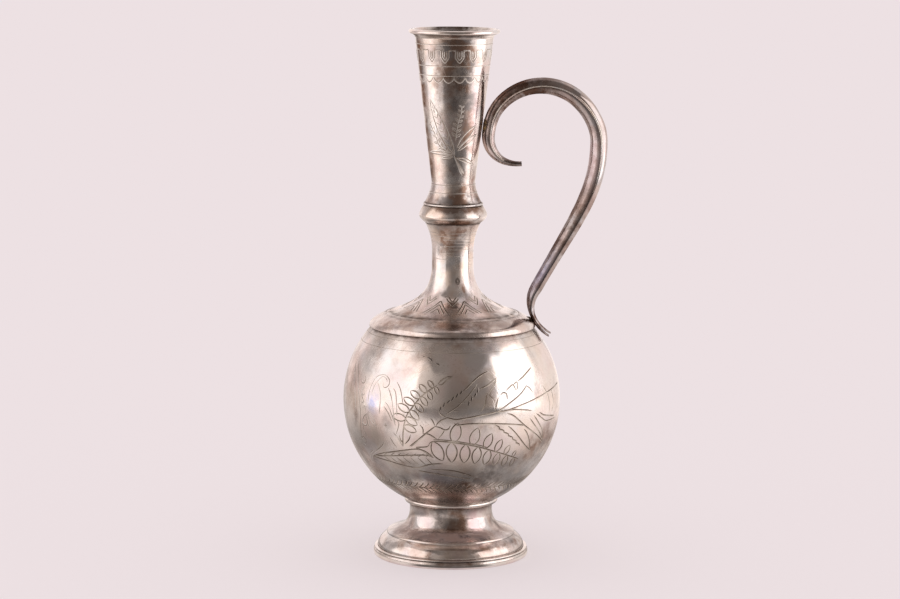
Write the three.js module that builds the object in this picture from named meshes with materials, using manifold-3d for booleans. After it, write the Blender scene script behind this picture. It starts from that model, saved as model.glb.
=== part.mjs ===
// Silver jug: pedestal foot, globe, narrow neck with a knop, long beaker mouth and a scroll handle.
// Millimetres, +Z up, standing on z = 0. The foot, globe and neck are revolved shells of sheet silver,
// soldered end to end with drawn wires over the seams. The handle is two gutter-shaped strips, soldered
// edge to edge into one hollow scroll, and soldered to the neck and to the shoulder moulding.
import * as THREE from 'three';
import { mergeVertices } from 'three/addons/utils/BufferGeometryUtils.js';
import Module from 'manifold-3d';

const wasm = await Module();
wasm.setup();

// Sheet and solder
const sheetGauge = 0.9; // wall of the spun pieces
const stripGauge = 0.65; // wall of the handle strips
const solderGap = 0.15; // film of solder between two pieces
const padGap = 0.3; // film between a solder pad and the faces that it joins
const padWeb = 0.5; // solder left at the thinnest place of a pad

// Foot
const footRimRadius = 36.8;
const footRimHeight = 4.2;
const footRimWidth = 1.9;
const footRimBead = 0.9; // height of the bead along the top of the rim wire
const footRimGroove = 0.6; // depth of the groove under that bead
const footSkirtLift = 0.6; // the sheet edge stays this far off the table
const footStepRadius = 31;
const footStepLevel = 9.4;
const footStepHeight = 0.8;
const footDomeFullness = 3.6; // how far the dome rises before it turns in
const footFlareReach = 6.4; // pull of the flare where it leaves the step
const footFlareSlope = 0.13; // rise per length of that pull
const footWaistRadius = 19.9;
const footWaistLevel = 21.6;
const footWaistTurn = 6.6; // pull of the flare under the waist
const footTopRadius = 20.4;
const footHeight = 27.7;
const footCollarWidth = 1.7;
const footCollarHeight = 2.8;

// Globe, and where the shoulder's sheet leaves its curve
const globeRadius = 51.4;
const shoulderRadius = 31;
const shoulderHem = 3.6; // radius that the sheet's hem covers on the globe's curve

// Moulding over the globe's upper seam
const mouldingMargin = 0.6; // bare curve between the shoulder's sweep and the moulding
const mouldingBreadth = 6.9; // radius gained from its upper to its lower edge
const mouldingRise = 1.5; // thickness at the crest
const mouldingLowEdge = 0.9; // thickness at the undercut lower edge
const mouldingTopEdge = 0.45;

// Shoulder and lower neck
const shoulderRise = 22.6; // from there up to the throat
const shoulderReach = 10; // pull of the curve where it leaves the globe
const shoulderSlope = 0.42; // rise per length of that pull
const shoulderTurn = 14.4; // pull of the curve under the throat
const throatRadius = 9.8;
const throatLength = 7;
const throatFlareRise = 13;
const throatFlareRadius = 13;

// Knop and its wire
const knopRadius = 16;
const knopHeight = 8.2;
const knopCrestLevel = 4.6; // widest level above the knop's foot
const knopTopRadius = 13.8;
const knopWireRadius = 14.1;
const knopWireHeight = 1.1;

// Upper neck
const beakerFootRadius = 13.4;
const beakerWaistRadius = 10.3;
const beakerWaistLevel = 9.6;
const beakerLowPull = 9.6; // pull of the taper above the waist
const beakerLowTaper = 0.108; // radius gained per height there
const beakerHighPull = 17.5; // pull of the taper under the lip
const beakerHighTaper = 0.11;
const beakerLipRadius = 18.3;
const beakerLipLevel = 76.8;
const beakerHeight = 81.2;
const mouthSeatRadius = 20;
const mouthRimWidth = 1.3;
const mouthRimHeight = 2.1;

// Handle: a curl, a loop, a long shank and a turned-out tail, drawn in the XZ plane
const loopRadius = 26;
const loopLevel = 30; // loop centre above the foot of the upper neck
const curlRadius = 12.2;
const curlStart = 283; // degrees round the curl's centre, at its free end
const curlJoin = 173; // degrees round both centres, where curl and loop meet
const bellyPull = 24;
const shankPull = 44;
const tailRadius = 12.5;
const tailSeatDrop = 0.16; // the tail bears this far below the moulding's lower edge
const tailStart = 151.4; // degrees round the tail's centre
const tailEnd = 252;
const tailSplit = 1.1; // how far the two strips part at the end of the tail
const curlThickness = 1.5;
const neckThickness = 5.1;
const bellyThickness = 8.2;
const shankThickness = 5.9;
const tailThickness = 2;
const curlWidth = 2.6;
const neckWidth = 5.6;
const bellyWidth = 8.6;
const shankWidth = 6.8;
const tailWidth = 4.4;

// Solder pads
const upperPadHeight = 10;
const upperPadWidth = 4.6;
const lowerPadHeight = 6.4;
const lowerPadWidth = 3.6;
const padDepth = 4.2;

// Fineness of the facets
const turnFacets = 32;
const profileSteps = 5;
const globeSteps = 14;
const handleSteps = 52;
const stripFacets = 5;

const toRadians = THREE.MathUtils.degToRad;
const jug = new THREE.Group();

function finish(colour, roughness) {
  return new THREE.MeshStandardMaterial({ color: colour, metalness: 1, roughness });
}

function addMesh(name, geometry, material) {
  const mesh = new THREE.Mesh(geometry, material);
  mesh.name = name;
  jug.add(mesh);
  return mesh;
}

// Turn a profile of (radius, height) points round the Z axis. The profile runs up its outer side.
function revolve(points) {
  const geometry = new THREE.LatheGeometry(points, turnFacets);
  geometry.rotateX(Math.PI / 2);
  return geometry;
}

function closed(points) {
  return [...points, points[0].clone()];
}

// The points of a profile moved square to it by a distance, to its left as it runs.
function offset(points, distance) {
  return points.map((point, i) => {
    const before = points[Math.max(i - 1, 0)];
    const after = points[Math.min(i + 1, points.length - 1)];
    const arriving = (i > 0 ? point.clone().sub(before) : after.clone().sub(point)).normalize();
    const leaving = (i < points.length - 1 ? after.clone().sub(point) : arriving.clone()).normalize();
    const along = arriving.clone().add(leaving).normalize();
    const mitre = distance / Math.max(along.dot(arriving), 0.5);
    return new THREE.Vector2(point.x - along.y * mitre, point.y + along.x * mitre);
  });
}

// A sheet of the spun gauge behind an outer profile. Level ends are cut square to the axis.
function sheet(outer, levelStart, levelEnd) {
  const inner = offset(outer, sheetGauge);
  const last = outer.length - 1;
  if (levelStart) inner[0] = levelCut(outer[0], outer[1]);
  if (levelEnd) inner[last] = levelCut(outer[last], outer[last - 1]);
  return closed([...outer, ...inner.reverse()]);
}

function levelCut(end, next) {
  const run = next.clone().sub(end);
  const width = (sheetGauge * run.length()) / Math.abs(run.y);
  return new THREE.Vector2(end.x - width, end.y);
}

// Height of a sphere's lower or upper half over a radius.
function capHeight(sphereRadius, radius) {
  return Math.sqrt(sphereRadius ** 2 - radius ** 2);
}

function arcPoints(centreLevel, radius, from, to, steps) {
  const points = [];
  for (let i = 0; i <= steps; i += 1) {
    const angle = THREE.MathUtils.lerp(from, to, i / steps);
    points.push(new THREE.Vector2(radius * Math.cos(angle), centreLevel + radius * Math.sin(angle)));
  }
  return points;
}

// Radius of an outer profile at a level.
function radiusAt(points, level) {
  for (let i = 1; i < points.length; i += 1) {
    const low = points[i - 1];
    const high = points[i];
    if (low.y <= level && level <= high.y) {
      return THREE.MathUtils.mapLinear(level, low.y, high.y, low.x, high.x);
    }
  }
  return points[points.length - 1].x;
}

const silver = finish(0xb9b0aa, 0.28);
const solder = finish(0x7d6a4c, 0.6);

// Foot rim wire: a plain half round with a groove and a bead above it, flat where it stands
const footSkirtRadius = footRimRadius - footRimWidth - solderGap;
const rimInner = footRimRadius - footRimWidth;
const rimGrooveLevel = footRimHeight - footRimBead;
const footRim = new THREE.Path();
footRim.moveTo(rimInner, 0);
footRim.lineTo(footRimRadius - footRimGroove, 0);
footRim.quadraticCurveTo(footRimRadius, 0, footRimRadius, rimGrooveLevel / 2);
footRim.quadraticCurveTo(footRimRadius, rimGrooveLevel, footRimRadius - footRimGroove, rimGrooveLevel);
footRim.lineTo(footRimRadius - footRimGroove / 2, rimGrooveLevel + footRimBead / 2);
footRim.lineTo(footRimRadius - footRimGroove, footRimHeight);
footRim.lineTo(rimInner, footRimHeight);
addMesh('foot_rim_wire', revolve(closed(footRim.getPoints(4))), silver.clone());

// Foot: skirt inside the rim wire, dome, step, and a hollow flare up to the waist and the globe
const footPath = new THREE.Path();
const stepTop = footStepLevel + footStepHeight;
const stepTopRadius = footStepRadius - footStepHeight / 2;
footPath.moveTo(footSkirtRadius, footSkirtLift);
footPath.lineTo(footSkirtRadius, footRimHeight);
footPath.quadraticCurveTo(footSkirtRadius, footRimHeight + footDomeFullness, footStepRadius, footStepLevel);
footPath.lineTo(stepTopRadius, stepTop);
footPath.bezierCurveTo(
  stepTopRadius - footFlareReach, stepTop + footFlareReach * footFlareSlope,
  footWaistRadius, footWaistLevel - footWaistTurn,
  footWaistRadius, footWaistLevel,
);
footPath.lineTo(footTopRadius, footHeight);
addMesh('foot', revolve(sheet(footPath.getPoints(profileSteps), true, true)), silver.clone());

// Globe: it sits in the foot's upper edge, which touches it at the inside of the sheet
const footTopInner = footTopRadius - sheetGauge;
const globeLevel = footHeight + capHeight(globeRadius + solderGap, footTopInner);
const globeMouthAngle = Math.acos((shoulderRadius + shoulderHem) / globeRadius);
const globeOuter = arcPoints(globeLevel, globeRadius, -Math.PI / 2, globeMouthAngle, globeSteps);
const globeHollow = globeRadius - sheetGauge;
const globeInner = arcPoints(globeLevel, globeHollow, -Math.PI / 2, globeMouthAngle, globeSteps);
globeOuter[0].x = 0;
globeInner[0].x = 0;
addMesh('body', revolve([...globeOuter, ...globeInner.reverse()]), silver.clone());

// Foot collar: half-round wire round the foot's upper edge, close up under the globe
const collarInner = footTopRadius + solderGap;
const collarTop = globeLevel - capHeight(globeRadius + solderGap, collarInner);
const collarBase = collarTop - footCollarHeight;
const collar = new THREE.Path();
collar.moveTo(collarInner, collarBase);
collar.bezierCurveTo(
  collarInner + (footCollarWidth * 4) / 3, collarBase,
  collarInner + (footCollarWidth * 4) / 3, collarTop,
  collarInner, collarTop,
);
addMesh('foot_collar', revolve(closed(collar.getPoints(profileSteps))), silver.clone());

// Shoulder moulding: a convex band lying on the globe's curve, thick and undercut below, thin above
const mouldingSeat = globeRadius + solderGap;
const mouldingTopRadius = shoulderRadius + mouldingMargin;
const mouldingLow = Math.acos((mouldingTopRadius + mouldingBreadth) / mouldingSeat);
const mouldingTop = Math.acos(mouldingTopRadius / mouldingSeat);
function mouldingThickness(share) {
  const edge = THREE.MathUtils.lerp(mouldingLowEdge, mouldingTopEdge, share);
  return edge + (mouldingRise - (mouldingLowEdge + mouldingTopEdge) / 2) * Math.sin(Math.PI * share);
}
const mouldingOuter = [];
for (let i = 0; i <= profileSteps; i += 1) {
  const share = i / profileSteps;
  const angle = THREE.MathUtils.lerp(mouldingLow, mouldingTop, share);
  const reach = mouldingSeat + mouldingThickness(share);
  mouldingOuter.push(new THREE.Vector2(reach * Math.cos(angle), globeLevel + reach * Math.sin(angle)));
}
const mouldingInner = arcPoints(globeLevel, mouldingSeat, mouldingTop, mouldingLow, profileSteps);
addMesh('shoulder_moulding', revolve(closed([...mouldingOuter, ...mouldingInner])), silver.clone());

// Shoulder and lower neck: a hem on the globe's curve under the moulding, then a sweep up to the throat
const hemAngle = globeMouthAngle + solderGap / globeRadius;
const shoulderAngle = Math.acos(shoulderRadius / globeRadius);
const shoulderLevel = globeLevel + capHeight(globeRadius, shoulderRadius);
const throatLevel = shoulderLevel + shoulderRise;
const neckTop = throatLevel + throatLength + throatFlareRise;
const shoulderPath = new THREE.Path();
shoulderPath.moveTo(shoulderRadius, shoulderLevel);
shoulderPath.bezierCurveTo(
  shoulderRadius - shoulderReach, shoulderLevel + shoulderReach * shoulderSlope,
  throatRadius, throatLevel - shoulderTurn,
  throatRadius, throatLevel,
);
shoulderPath.lineTo(throatRadius, throatLevel + throatLength);
shoulderPath.quadraticCurveTo(
  throatRadius, throatLevel + throatLength + throatFlareRise / 2, throatFlareRadius, neckTop,
);
const hem = arcPoints(globeLevel, globeRadius, hemAngle, shoulderAngle, 2);
const shoulderOuter = [...hem.slice(0, -1), ...shoulderPath.getPoints(profileSteps)];
addMesh('shoulder_neck', revolve(sheet(shoulderOuter, false, true)), silver.clone());

// Knop: hollow, round below and sloped above
const knopBase = neckTop + solderGap;
const knopCrest = knopBase + knopCrestLevel;
const knopTop = knopBase + knopHeight;
const knopPath = new THREE.Path();
knopPath.moveTo(throatFlareRadius, knopBase);
knopPath.quadraticCurveTo(knopRadius, (knopBase + knopCrest) / 2, knopRadius, knopCrest);
knopPath.quadraticCurveTo(knopRadius, (knopCrest + knopTop) / 2, knopTopRadius, knopTop);
addMesh('knop', revolve(sheet(knopPath.getPoints(4), true, true)), silver.clone());

// Knop wire: a thin ring between the knop and the upper neck
const wireBase = knopTop + solderGap;
const wireTop = wireBase + knopWireHeight;
const wireInner = beakerFootRadius - sheetGauge;
const wireRound = knopWireHeight / 2;
const wireCentre = new THREE.Vector2(knopWireRadius - wireRound, wireBase + wireRound);
const knopWire = new THREE.Path();
knopWire.moveTo(wireInner, wireBase);
knopWire.absarc(wireCentre.x, wireCentre.y, wireRound, -Math.PI / 2, Math.PI / 2, false);
knopWire.lineTo(wireInner, wireTop);
addMesh('knop_wire', revolve(closed(knopWire.getPoints(profileSteps))), silver.clone());

// Upper neck: it narrows from the wire to a waist, flares in a long taper and turns out at the lip
const beakerBase = wireTop + solderGap;
const beakerWaist = beakerBase + beakerWaistLevel;
const lipLevel = beakerBase + beakerLipLevel;
const mouthLevel = beakerBase + beakerHeight;
const mouthRimBase = mouthLevel - mouthRimHeight;
const beakerPath = new THREE.Path();
beakerPath.moveTo(beakerFootRadius, beakerBase);
beakerPath.quadraticCurveTo(
  beakerWaistRadius + sheetGauge / 2, (beakerBase + beakerWaist) / 2, beakerWaistRadius, beakerWaist,
);
beakerPath.bezierCurveTo(
  beakerWaistRadius + beakerLowPull * beakerLowTaper, beakerWaist + beakerLowPull,
  beakerLipRadius - beakerHighPull * beakerHighTaper, lipLevel - beakerHighPull,
  beakerLipRadius, lipLevel,
);
beakerPath.quadraticCurveTo(
  beakerLipRadius, (lipLevel + mouthRimBase) / 2, mouthSeatRadius, mouthRimBase,
);
beakerPath.lineTo(mouthSeatRadius, mouthLevel);
const beakerOuter = beakerPath.getPoints(profileSteps);
addMesh('neck_beaker', revolve(sheet(beakerOuter, true, true)), silver.clone());

// Mouth rim wire: half round on the outside of the lip, level with its edge
const mouthRimInner = mouthSeatRadius + solderGap;
const mouthRim = new THREE.Path();
mouthRim.moveTo(mouthRimInner, mouthRimBase);
mouthRim.bezierCurveTo(
  mouthRimInner + (mouthRimWidth * 4) / 3, mouthRimBase,
  mouthRimInner + (mouthRimWidth * 4) / 3, mouthLevel,
  mouthRimInner, mouthLevel,
);
addMesh('mouth_rim_wire', revolve(closed(mouthRim.getPoints(profileSteps))), silver.clone());

// Handle centre line. The curl bears on the neck and the tail on the moulding, each through a solder pad.
const padThickness = padWeb + 2 * padGap;
const loopCentreLevel = beakerBase + loopLevel;
const curlTurn = toRadians(curlJoin);
const joinLevel = loopCentreLevel + loopRadius * Math.sin(curlTurn);
const neckFace = radiusAt(beakerOuter, joinLevel) + padThickness;
const joinX = neckFace + neckThickness / 2;
const loopCentre = new THREE.Vector2(joinX - loopRadius * Math.cos(curlTurn), loopCentreLevel);
const curlCentre = new THREE.Vector2(
  joinX - curlRadius * Math.cos(curlTurn), joinLevel - curlRadius * Math.sin(curlTurn),
);
const seatAngle = mouldingLow - tailSeatDrop / mouldingSeat;
const tailFace = mouldingSeat + mouldingThickness(0) + padThickness;
const tailReach = tailFace + tailThickness / 2 + tailRadius;
const tailCentre = new THREE.Vector2(
  tailReach * Math.cos(seatAngle), globeLevel + tailReach * Math.sin(seatAngle),
);
const tailTurn = toRadians(tailStart);
const shankFoot = new THREE.Vector2(
  tailCentre.x + tailRadius * Math.cos(tailTurn), tailCentre.y + tailRadius * Math.sin(tailTurn),
);
const belly = new THREE.Vector2(loopCentre.x + loopRadius, loopCentre.y);
const centreLine = new THREE.Path();
centreLine.absarc(curlCentre.x, curlCentre.y, curlRadius, toRadians(curlStart), curlTurn, true);
centreLine.absarc(loopCentre.x, loopCentre.y, loopRadius, curlTurn, 0, true);
centreLine.bezierCurveTo(
  belly.x, belly.y - bellyPull,
  shankFoot.x + shankPull * Math.sin(tailTurn), shankFoot.y - shankPull * Math.cos(tailTurn),
  shankFoot.x, shankFoot.y,
);
centreLine.absarc(tailCentre.x, tailCentre.y, tailRadius, tailTurn, toRadians(tailEnd), false);

// Sections of the handle, each at a share of the centre line's length
const lengths = centreLine.getCurveLengths();
const fullLength = lengths[lengths.length - 1];
const stations = [
  { share: 0, thickness: curlThickness, width: curlWidth },
  { share: lengths[0] / fullLength, thickness: neckThickness, width: neckWidth },
  { share: (lengths[1] + bellyPull / 2) / fullLength, thickness: bellyThickness, width: bellyWidth },
  { share: (lengths[2] - shankPull / 3) / fullLength, thickness: shankThickness, width: shankWidth },
  { share: (lengths[2] + tailRadius) / fullLength, thickness: tailThickness, width: tailWidth },
  { share: 1, thickness: tailThickness, width: tailWidth },
];

// A size of the handle's section at a share of its length, eased from one station to the next
function sectionSize(share, key) {
  const next = Math.max(stations.findIndex((station) => station.share >= share), 1);
  const low = stations[next - 1];
  const high = stations[next];
  const ease = THREE.MathUtils.smoothstep(share, low.share, high.share);
  return THREE.MathUtils.lerp(low[key], high[key], ease);
}

// Rise of a strip's back across its width: a crowned curve that meets the seam at an edge
function crown(across) {
  return 1 - Math.abs(across) ** 2.3;
}

// Loft of a strip along the centre line: side is +1 outside the scroll and -1 inside it. Each ring runs
// over the strip's back and returns along its hollow. A grown strip has a margin all round and no hollow.
function strip(side, grown) {
  const rings = [];
  for (let i = 0; i <= handleSteps; i += 1) {
    const share = i / handleSteps;
    const point = centreLine.getPointAt(share);
    const tangent = centreLine.getTangentAt(share);
    const normal = new THREE.Vector2(-tangent.y, tangent.x).multiplyScalar(side);
    const back = sectionSize(share, 'thickness') / 2 + grown;
    const half = sectionSize(share, 'width') / 2 + grown;
    const parted = Math.max(share - stations[4].share, 0) / (1 - stations[4].share);
    const seam = grown > 0 ? -grown : solderGap / 2 + (tailSplit / 2) * parted ** 2;
    const wall = Math.min(stripGauge, back - seam);
    const hollow = grown > 0 ? 0 : Math.max(back - seam - wall, 0);
    const ring = [];
    for (let k = 0; k <= stripFacets; k += 1) {
      const across = 1 - (2 * k) / stripFacets;
      ring.push([across * half, seam + (back - seam) * crown(across)]);
    }
    for (let k = stripFacets; k >= 0; k -= 1) {
      const across = 1 - (2 * k) / stripFacets;
      const inset = half - Math.min(stripGauge, half / 3);
      ring.push([across * inset, seam + hollow * crown(across)]);
    }
    rings.push(ring.map(([across, up]) => {
      return new THREE.Vector3(point.x + normal.x * up, across, point.y + normal.y * up);
    }));
  }
  return loft(rings, side > 0);
}

// Closed solid through rings of equal count, each an outer run followed by its return
function loft(rings, flip) {
  const count = rings[0].length;
  const positions = rings.flat().flatMap((point) => [point.x, point.y, point.z]);
  const faces = [];
  const addFace = (a, b, c) => faces.push(...(flip ? [a, c, b] : [a, b, c]));
  for (let i = 0; i + 1 < rings.length; i += 1) {
    for (let k = 0; k < count; k += 1) {
      const here = i * count + k;
      const side = i * count + ((k + 1) % count);
      addFace(here, here + count, side);
      addFace(side, here + count, side + count);
    }
  }
  const lastRing = (rings.length - 1) * count;
  for (let k = 0; k + 1 < count / 2; k += 1) {
    const back = count - 1 - k;
    addFace(k, k + 1, back);
    addFace(k + 1, back - 1, back);
    addFace(lastRing + k, lastRing + back, lastRing + k + 1);
    addFace(lastRing + k + 1, lastRing + back, lastRing + back - 1);
  }
  const geometry = new THREE.BufferGeometry();
  geometry.setAttribute('position', new THREE.Float32BufferAttribute(positions, 3));
  geometry.setIndex(faces);
  geometry.computeVertexNormals();
  return geometry;
}

addMesh('handle_outer_strip', strip(1, 0), silver.clone());
addMesh('handle_inner_strip', strip(-1, 0), silver.clone());

// Solid for joins and cuts, and back again
function toSolid(geometry) {
  const bare = geometry.clone();
  bare.deleteAttribute('normal');
  bare.deleteAttribute('uv');
  const merged = mergeVertices(bare, 1e-4);
  return new wasm.Manifold(new wasm.Mesh({
    numProp: 3,
    vertProperties: new Float32Array(merged.attributes.position.array),
    triVerts: new Uint32Array(merged.index.array),
  }));
}

function toGeometry(solid) {
  const mesh = solid.getMesh();
  const geometry = new THREE.BufferGeometry();
  geometry.setAttribute('position', new THREE.Float32BufferAttribute(mesh.vertProperties, 3));
  geometry.setIndex(Array.from(mesh.triVerts));
  geometry.computeVertexNormals();
  return geometry;
}

// Solder pad: a bead where the handle meets revolved faces, cut clear of them all by the pad's film
function solderPad(place, size, faces) {
  const bead = new THREE.SphereGeometry(0.5, 14, 9);
  bead.scale(size.x, size.y, size.z);
  bead.rotateY(-place.tilt);
  bead.translate(place.x, 0, place.z);
  const handle = toSolid(strip(1, padGap)).add(toSolid(strip(-1, padGap)));
  const cores = faces.map((points) => toSolid(revolve(core(offset(points, -padGap)))));
  return toGeometry(cores.reduce((pad, solid) => pad.subtract(solid), toSolid(bead).subtract(handle)));
}

// A face's profile closed to the axis at both ends
function core(face) {
  const ends = [face[0], face[face.length - 1]];
  const [low, high] = ends.map((point) => new THREE.Vector2(0, point.y));
  return [low, ...face, high];
}

const upperPadPlace = { x: neckFace - padThickness / 2, z: joinLevel, tilt: 0 };
const upperPadSize = new THREE.Vector3(padDepth, upperPadWidth, upperPadHeight);
addMesh('handle_upper_solder', solderPad(upperPadPlace, upperPadSize, [beakerOuter]), solder.clone());

const seatReach = tailFace - padThickness / 2;
const lowerPadPlace = {
  x: seatReach * Math.cos(seatAngle), z: globeLevel + seatReach * Math.sin(seatAngle), tilt: seatAngle,
};
const lowerPadSize = new THREE.Vector3(padDepth, lowerPadWidth, lowerPadHeight);
const mouldingFace = [mouldingInner[profileSteps], ...mouldingOuter, mouldingInner[0]];
const lowerFaces = [globeOuter, mouldingFace, shoulderOuter];
addMesh('handle_lower_solder', solderPad(lowerPadPlace, lowerPadSize, lowerFaces), solder.clone());

// The origin is the middle of the jug's footprint box, on the table
const box = new THREE.Box3().setFromObject(jug);
jug.position.set(-(box.min.x + box.max.x) / 2, 0, 0);

export default jug;
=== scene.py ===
import math

import bmesh
import bpy
import numpy as np
from mathutils import Matrix, Vector, noise


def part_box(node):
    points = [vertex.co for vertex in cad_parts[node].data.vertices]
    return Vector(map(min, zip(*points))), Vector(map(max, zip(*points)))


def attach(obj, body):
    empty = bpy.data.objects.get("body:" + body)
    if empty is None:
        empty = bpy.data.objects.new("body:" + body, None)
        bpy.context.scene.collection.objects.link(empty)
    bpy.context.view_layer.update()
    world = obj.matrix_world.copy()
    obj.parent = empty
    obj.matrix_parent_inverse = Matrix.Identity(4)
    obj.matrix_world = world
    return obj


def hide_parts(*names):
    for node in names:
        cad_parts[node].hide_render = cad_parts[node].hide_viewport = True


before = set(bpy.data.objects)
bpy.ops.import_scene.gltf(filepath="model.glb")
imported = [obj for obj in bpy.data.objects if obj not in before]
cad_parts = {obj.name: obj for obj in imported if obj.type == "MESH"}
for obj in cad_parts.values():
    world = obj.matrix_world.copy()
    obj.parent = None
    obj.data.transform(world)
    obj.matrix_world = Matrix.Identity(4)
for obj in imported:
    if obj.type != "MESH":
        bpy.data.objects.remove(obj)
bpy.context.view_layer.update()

mm = 0.001
collection = bpy.context.scene.collection


def span(node):
    # middle, half width, lowest and highest level of a CAD piece, in millimetres
    low, high = (np.array(corner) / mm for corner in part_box(node))
    return {"middle": (low[0] + high[0]) / 2, "radius": (high[1] - low[1]) / 2, "low": low[2],
            "high": high[2]}


axisX = span("body")["middle"]  # the jug's axis stands left of the footprint's middle
solderGap = 0.15
print("frame loaded, axis at", round(float(axisX), 3), "mm")


# Drawing helpers: profiles are lists of (radius, height) in millimetres

def bezier(points, steps):
    t = np.linspace(0, 1, steps + 1)[:, None]
    p = [np.array(point, float) for point in points]
    if len(p) == 3:
        curve = (1 - t) ** 2 * p[0] + 2 * t * (1 - t) * p[1] + t ** 2 * p[2]
    else:
        curve = ((1 - t) ** 3 * p[0] + 3 * t * (1 - t) ** 2 * p[1]
                 + 3 * t ** 2 * (1 - t) * p[2] + t ** 3 * p[3])
    return [tuple(point) for point in curve]


def arc(centre, radius, start, end, steps):
    angles = np.radians(np.linspace(start, end, steps + 1))
    return [(centre[0] + radius * math.cos(a), centre[1] + radius * math.sin(a)) for a in angles]


def smoothThrough(points, steps):
    # Catmull-Rom curve through given points
    p = np.array([points[0]] + list(points) + [points[-1]], float)
    curve = []
    for i in range(1, len(p) - 2):
        for t in np.arange(steps) / steps:
            a = 2 * p[i]
            b = (p[i + 1] - p[i - 1]) * t
            c = (2 * p[i - 1] - 5 * p[i] + 4 * p[i + 1] - p[i + 2]) * t ** 2
            d = (-p[i - 1] + 3 * p[i] - 3 * p[i + 1] + p[i + 2]) * t ** 3
            curve.append(tuple((a + b + c + d) / 2))
    curve.append(tuple(p[-2]))
    return curve


def wall(outer, gauge):
    # the outer profile, then its way back on the inside of the sheet
    p = np.array(outer)
    run = np.gradient(p, axis=0)
    run /= np.linalg.norm(run, axis=1)[:, None]
    inner = p + gauge * np.stack([-run[:, 1], run[:, 0]], 1)
    inner[:, 0] = np.maximum(inner[:, 0], 0)
    return list(map(tuple, p)) + [tuple(point) for point in inner[::-1]]


def radiusAt(profile, level):
    p = np.array(profile)
    return float(np.interp(level, p[:, 1], p[:, 0]))


# Node helpers, for shaders and for geometry

def feed(tree, socket, value):
    # a link where the value comes out of another node, else the value itself
    if isinstance(value, bpy.types.NodeSocket):
        tree.links.new(value, socket)
    else:
        socket.default_value = value


def addNode(tree, kind, settings=None, **values):
    node = tree.nodes.new(kind)
    for key, value in (settings or {}).items():
        setattr(node, key, value)
    for key, value in values.items():
        feed(tree, node.inputs[key.replace("_", " ").title()], value)
    return node


def mathNode(tree, operation, *values, kind="ShaderNodeMath"):
    node = addNode(tree, kind, {"operation": operation})
    for socket, value in zip(node.inputs, values):
        feed(tree, socket, value)
    return node.outputs[0]


def product(tree, first, *others):
    for other in others:
        first = mathNode(tree, "MULTIPLY", first, other)
    return first


def total(tree, first, *others):
    for other in others:
        first = mathNode(tree, "ADD", first, other)
    return first


def less(tree, whole, share):
    return mathNode(tree, "SUBTRACT", whole, share)


def vector(tree, **axes):
    return addNode(tree, "ShaderNodeCombineXYZ", **axes).outputs["Vector"]


def mixColours(tree, share, first, second):
    # the Mix node keeps its colours behind its numbers and vectors
    node = addNode(tree, "ShaderNodeMix", {"data_type": "RGBA"})
    for index, value in zip((0, 6, 7), (share, first, second)):
        feed(tree, node.inputs[index], (*value, 1) if isinstance(value, tuple) else value)
    return node.outputs[2]


def spread(tree, value, low, high, newLow=0.0, newHigh=1.0):
    node = addNode(tree, "ShaderNodeMapRange", {"interpolation_type": "SMOOTHSTEP"})
    for socket, given in zip(node.inputs, (value, low, high, newLow, newHigh)):
        feed(tree, socket, given)
    return node.outputs[0]


def cloud(tree, place, size, detail, rough, shift):
    # soft random patches, size in metres
    moved = mathNode(tree, "ADD", place, (shift, shift * 0.7, -shift), kind="ShaderNodeVectorMath")
    return addNode(tree, "ShaderNodeTexNoise", vector=moved, scale=1 / size, detail=detail,
                   roughness=rough).outputs["Fac"]


def streaks(tree, place, width, length, turn):
    # fine scratches that run one way, width and length in metres
    turned = addNode(tree, "ShaderNodeMapping", vector=place, scale=(1 / length, 1 / width, 1 / length),
                     rotation=[math.radians(angle) for angle in turn])
    return addNode(tree, "ShaderNodeTexNoise", vector=turned.outputs[0], scale=1.0, detail=2.0,
                   roughness=0.6).outputs["Fac"]


def fromMesh(tree, layer):
    return addNode(tree, "ShaderNodeAttribute", {"attribute_name": layer}).outputs["Fac"]


def emboss(tree, shader, height, strength, depth):
    bump = addNode(tree, "ShaderNodeBump", strength=strength, distance=depth, height=height)
    feed(tree, shader["Normal"], bump.outputs["Normal"])


def newMaterial(name):
    material = bpy.data.materials.new(name)
    material.use_nodes = True
    return material, material.node_tree


def newMetal(name):
    material, tree = newMaterial(name)
    shader = tree.nodes["Principled BSDF"].inputs
    shader["Metallic"].default_value = 1.0
    return material, tree, shader, addNode(tree, "ShaderNodeTexCoord").outputs["Object"]


# Silver: clean metal with tan, brown and blue-grey tarnish, polishing scratches and dirt in the seams, with
# painted shade laid in through the tarnish and the dirt

silverLook = {
    "clean": (0.84, 0.775, 0.735),
    "tan": (0.72, 0.565, 0.455),
    "brown": (0.36, 0.24, 0.18),
    "blue": (0.62, 0.645, 0.69),
    "pink": (0.80, 0.61, 0.58),
    "tarnish": (0.255, 0.165, 0.125),
    "steel": (0.25, 0.22, 0.21),
    "dirtAndShade": (0.075, 0.048, 0.034),
    "rose": (0.68, 0.53, 0.535),
    "sky": (0.42, 0.44, 0.62),
    "dust": (0.36, 0.265, 0.225),
    "glance": (0.36, 0.31, 0.29),
    "cleanGlance": (1.0, 0.98, 0.97),
    "tanShare": 0.50,
    "brownShare": 0.30,
    "tintShare": 0.40,
    "patchSize": 0.019,
    "speckSize": 0.0011,
    "speckShare": 0.35,
    "breakSize": 0.0065,
    "toneSize": 0.011,
    "grimeSize": 0.0035,
    "gloss": 0.10,
    "dull": 0.26,
    "scratchDepth": 0.000012,
    "seed": 0.0,
}

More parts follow.
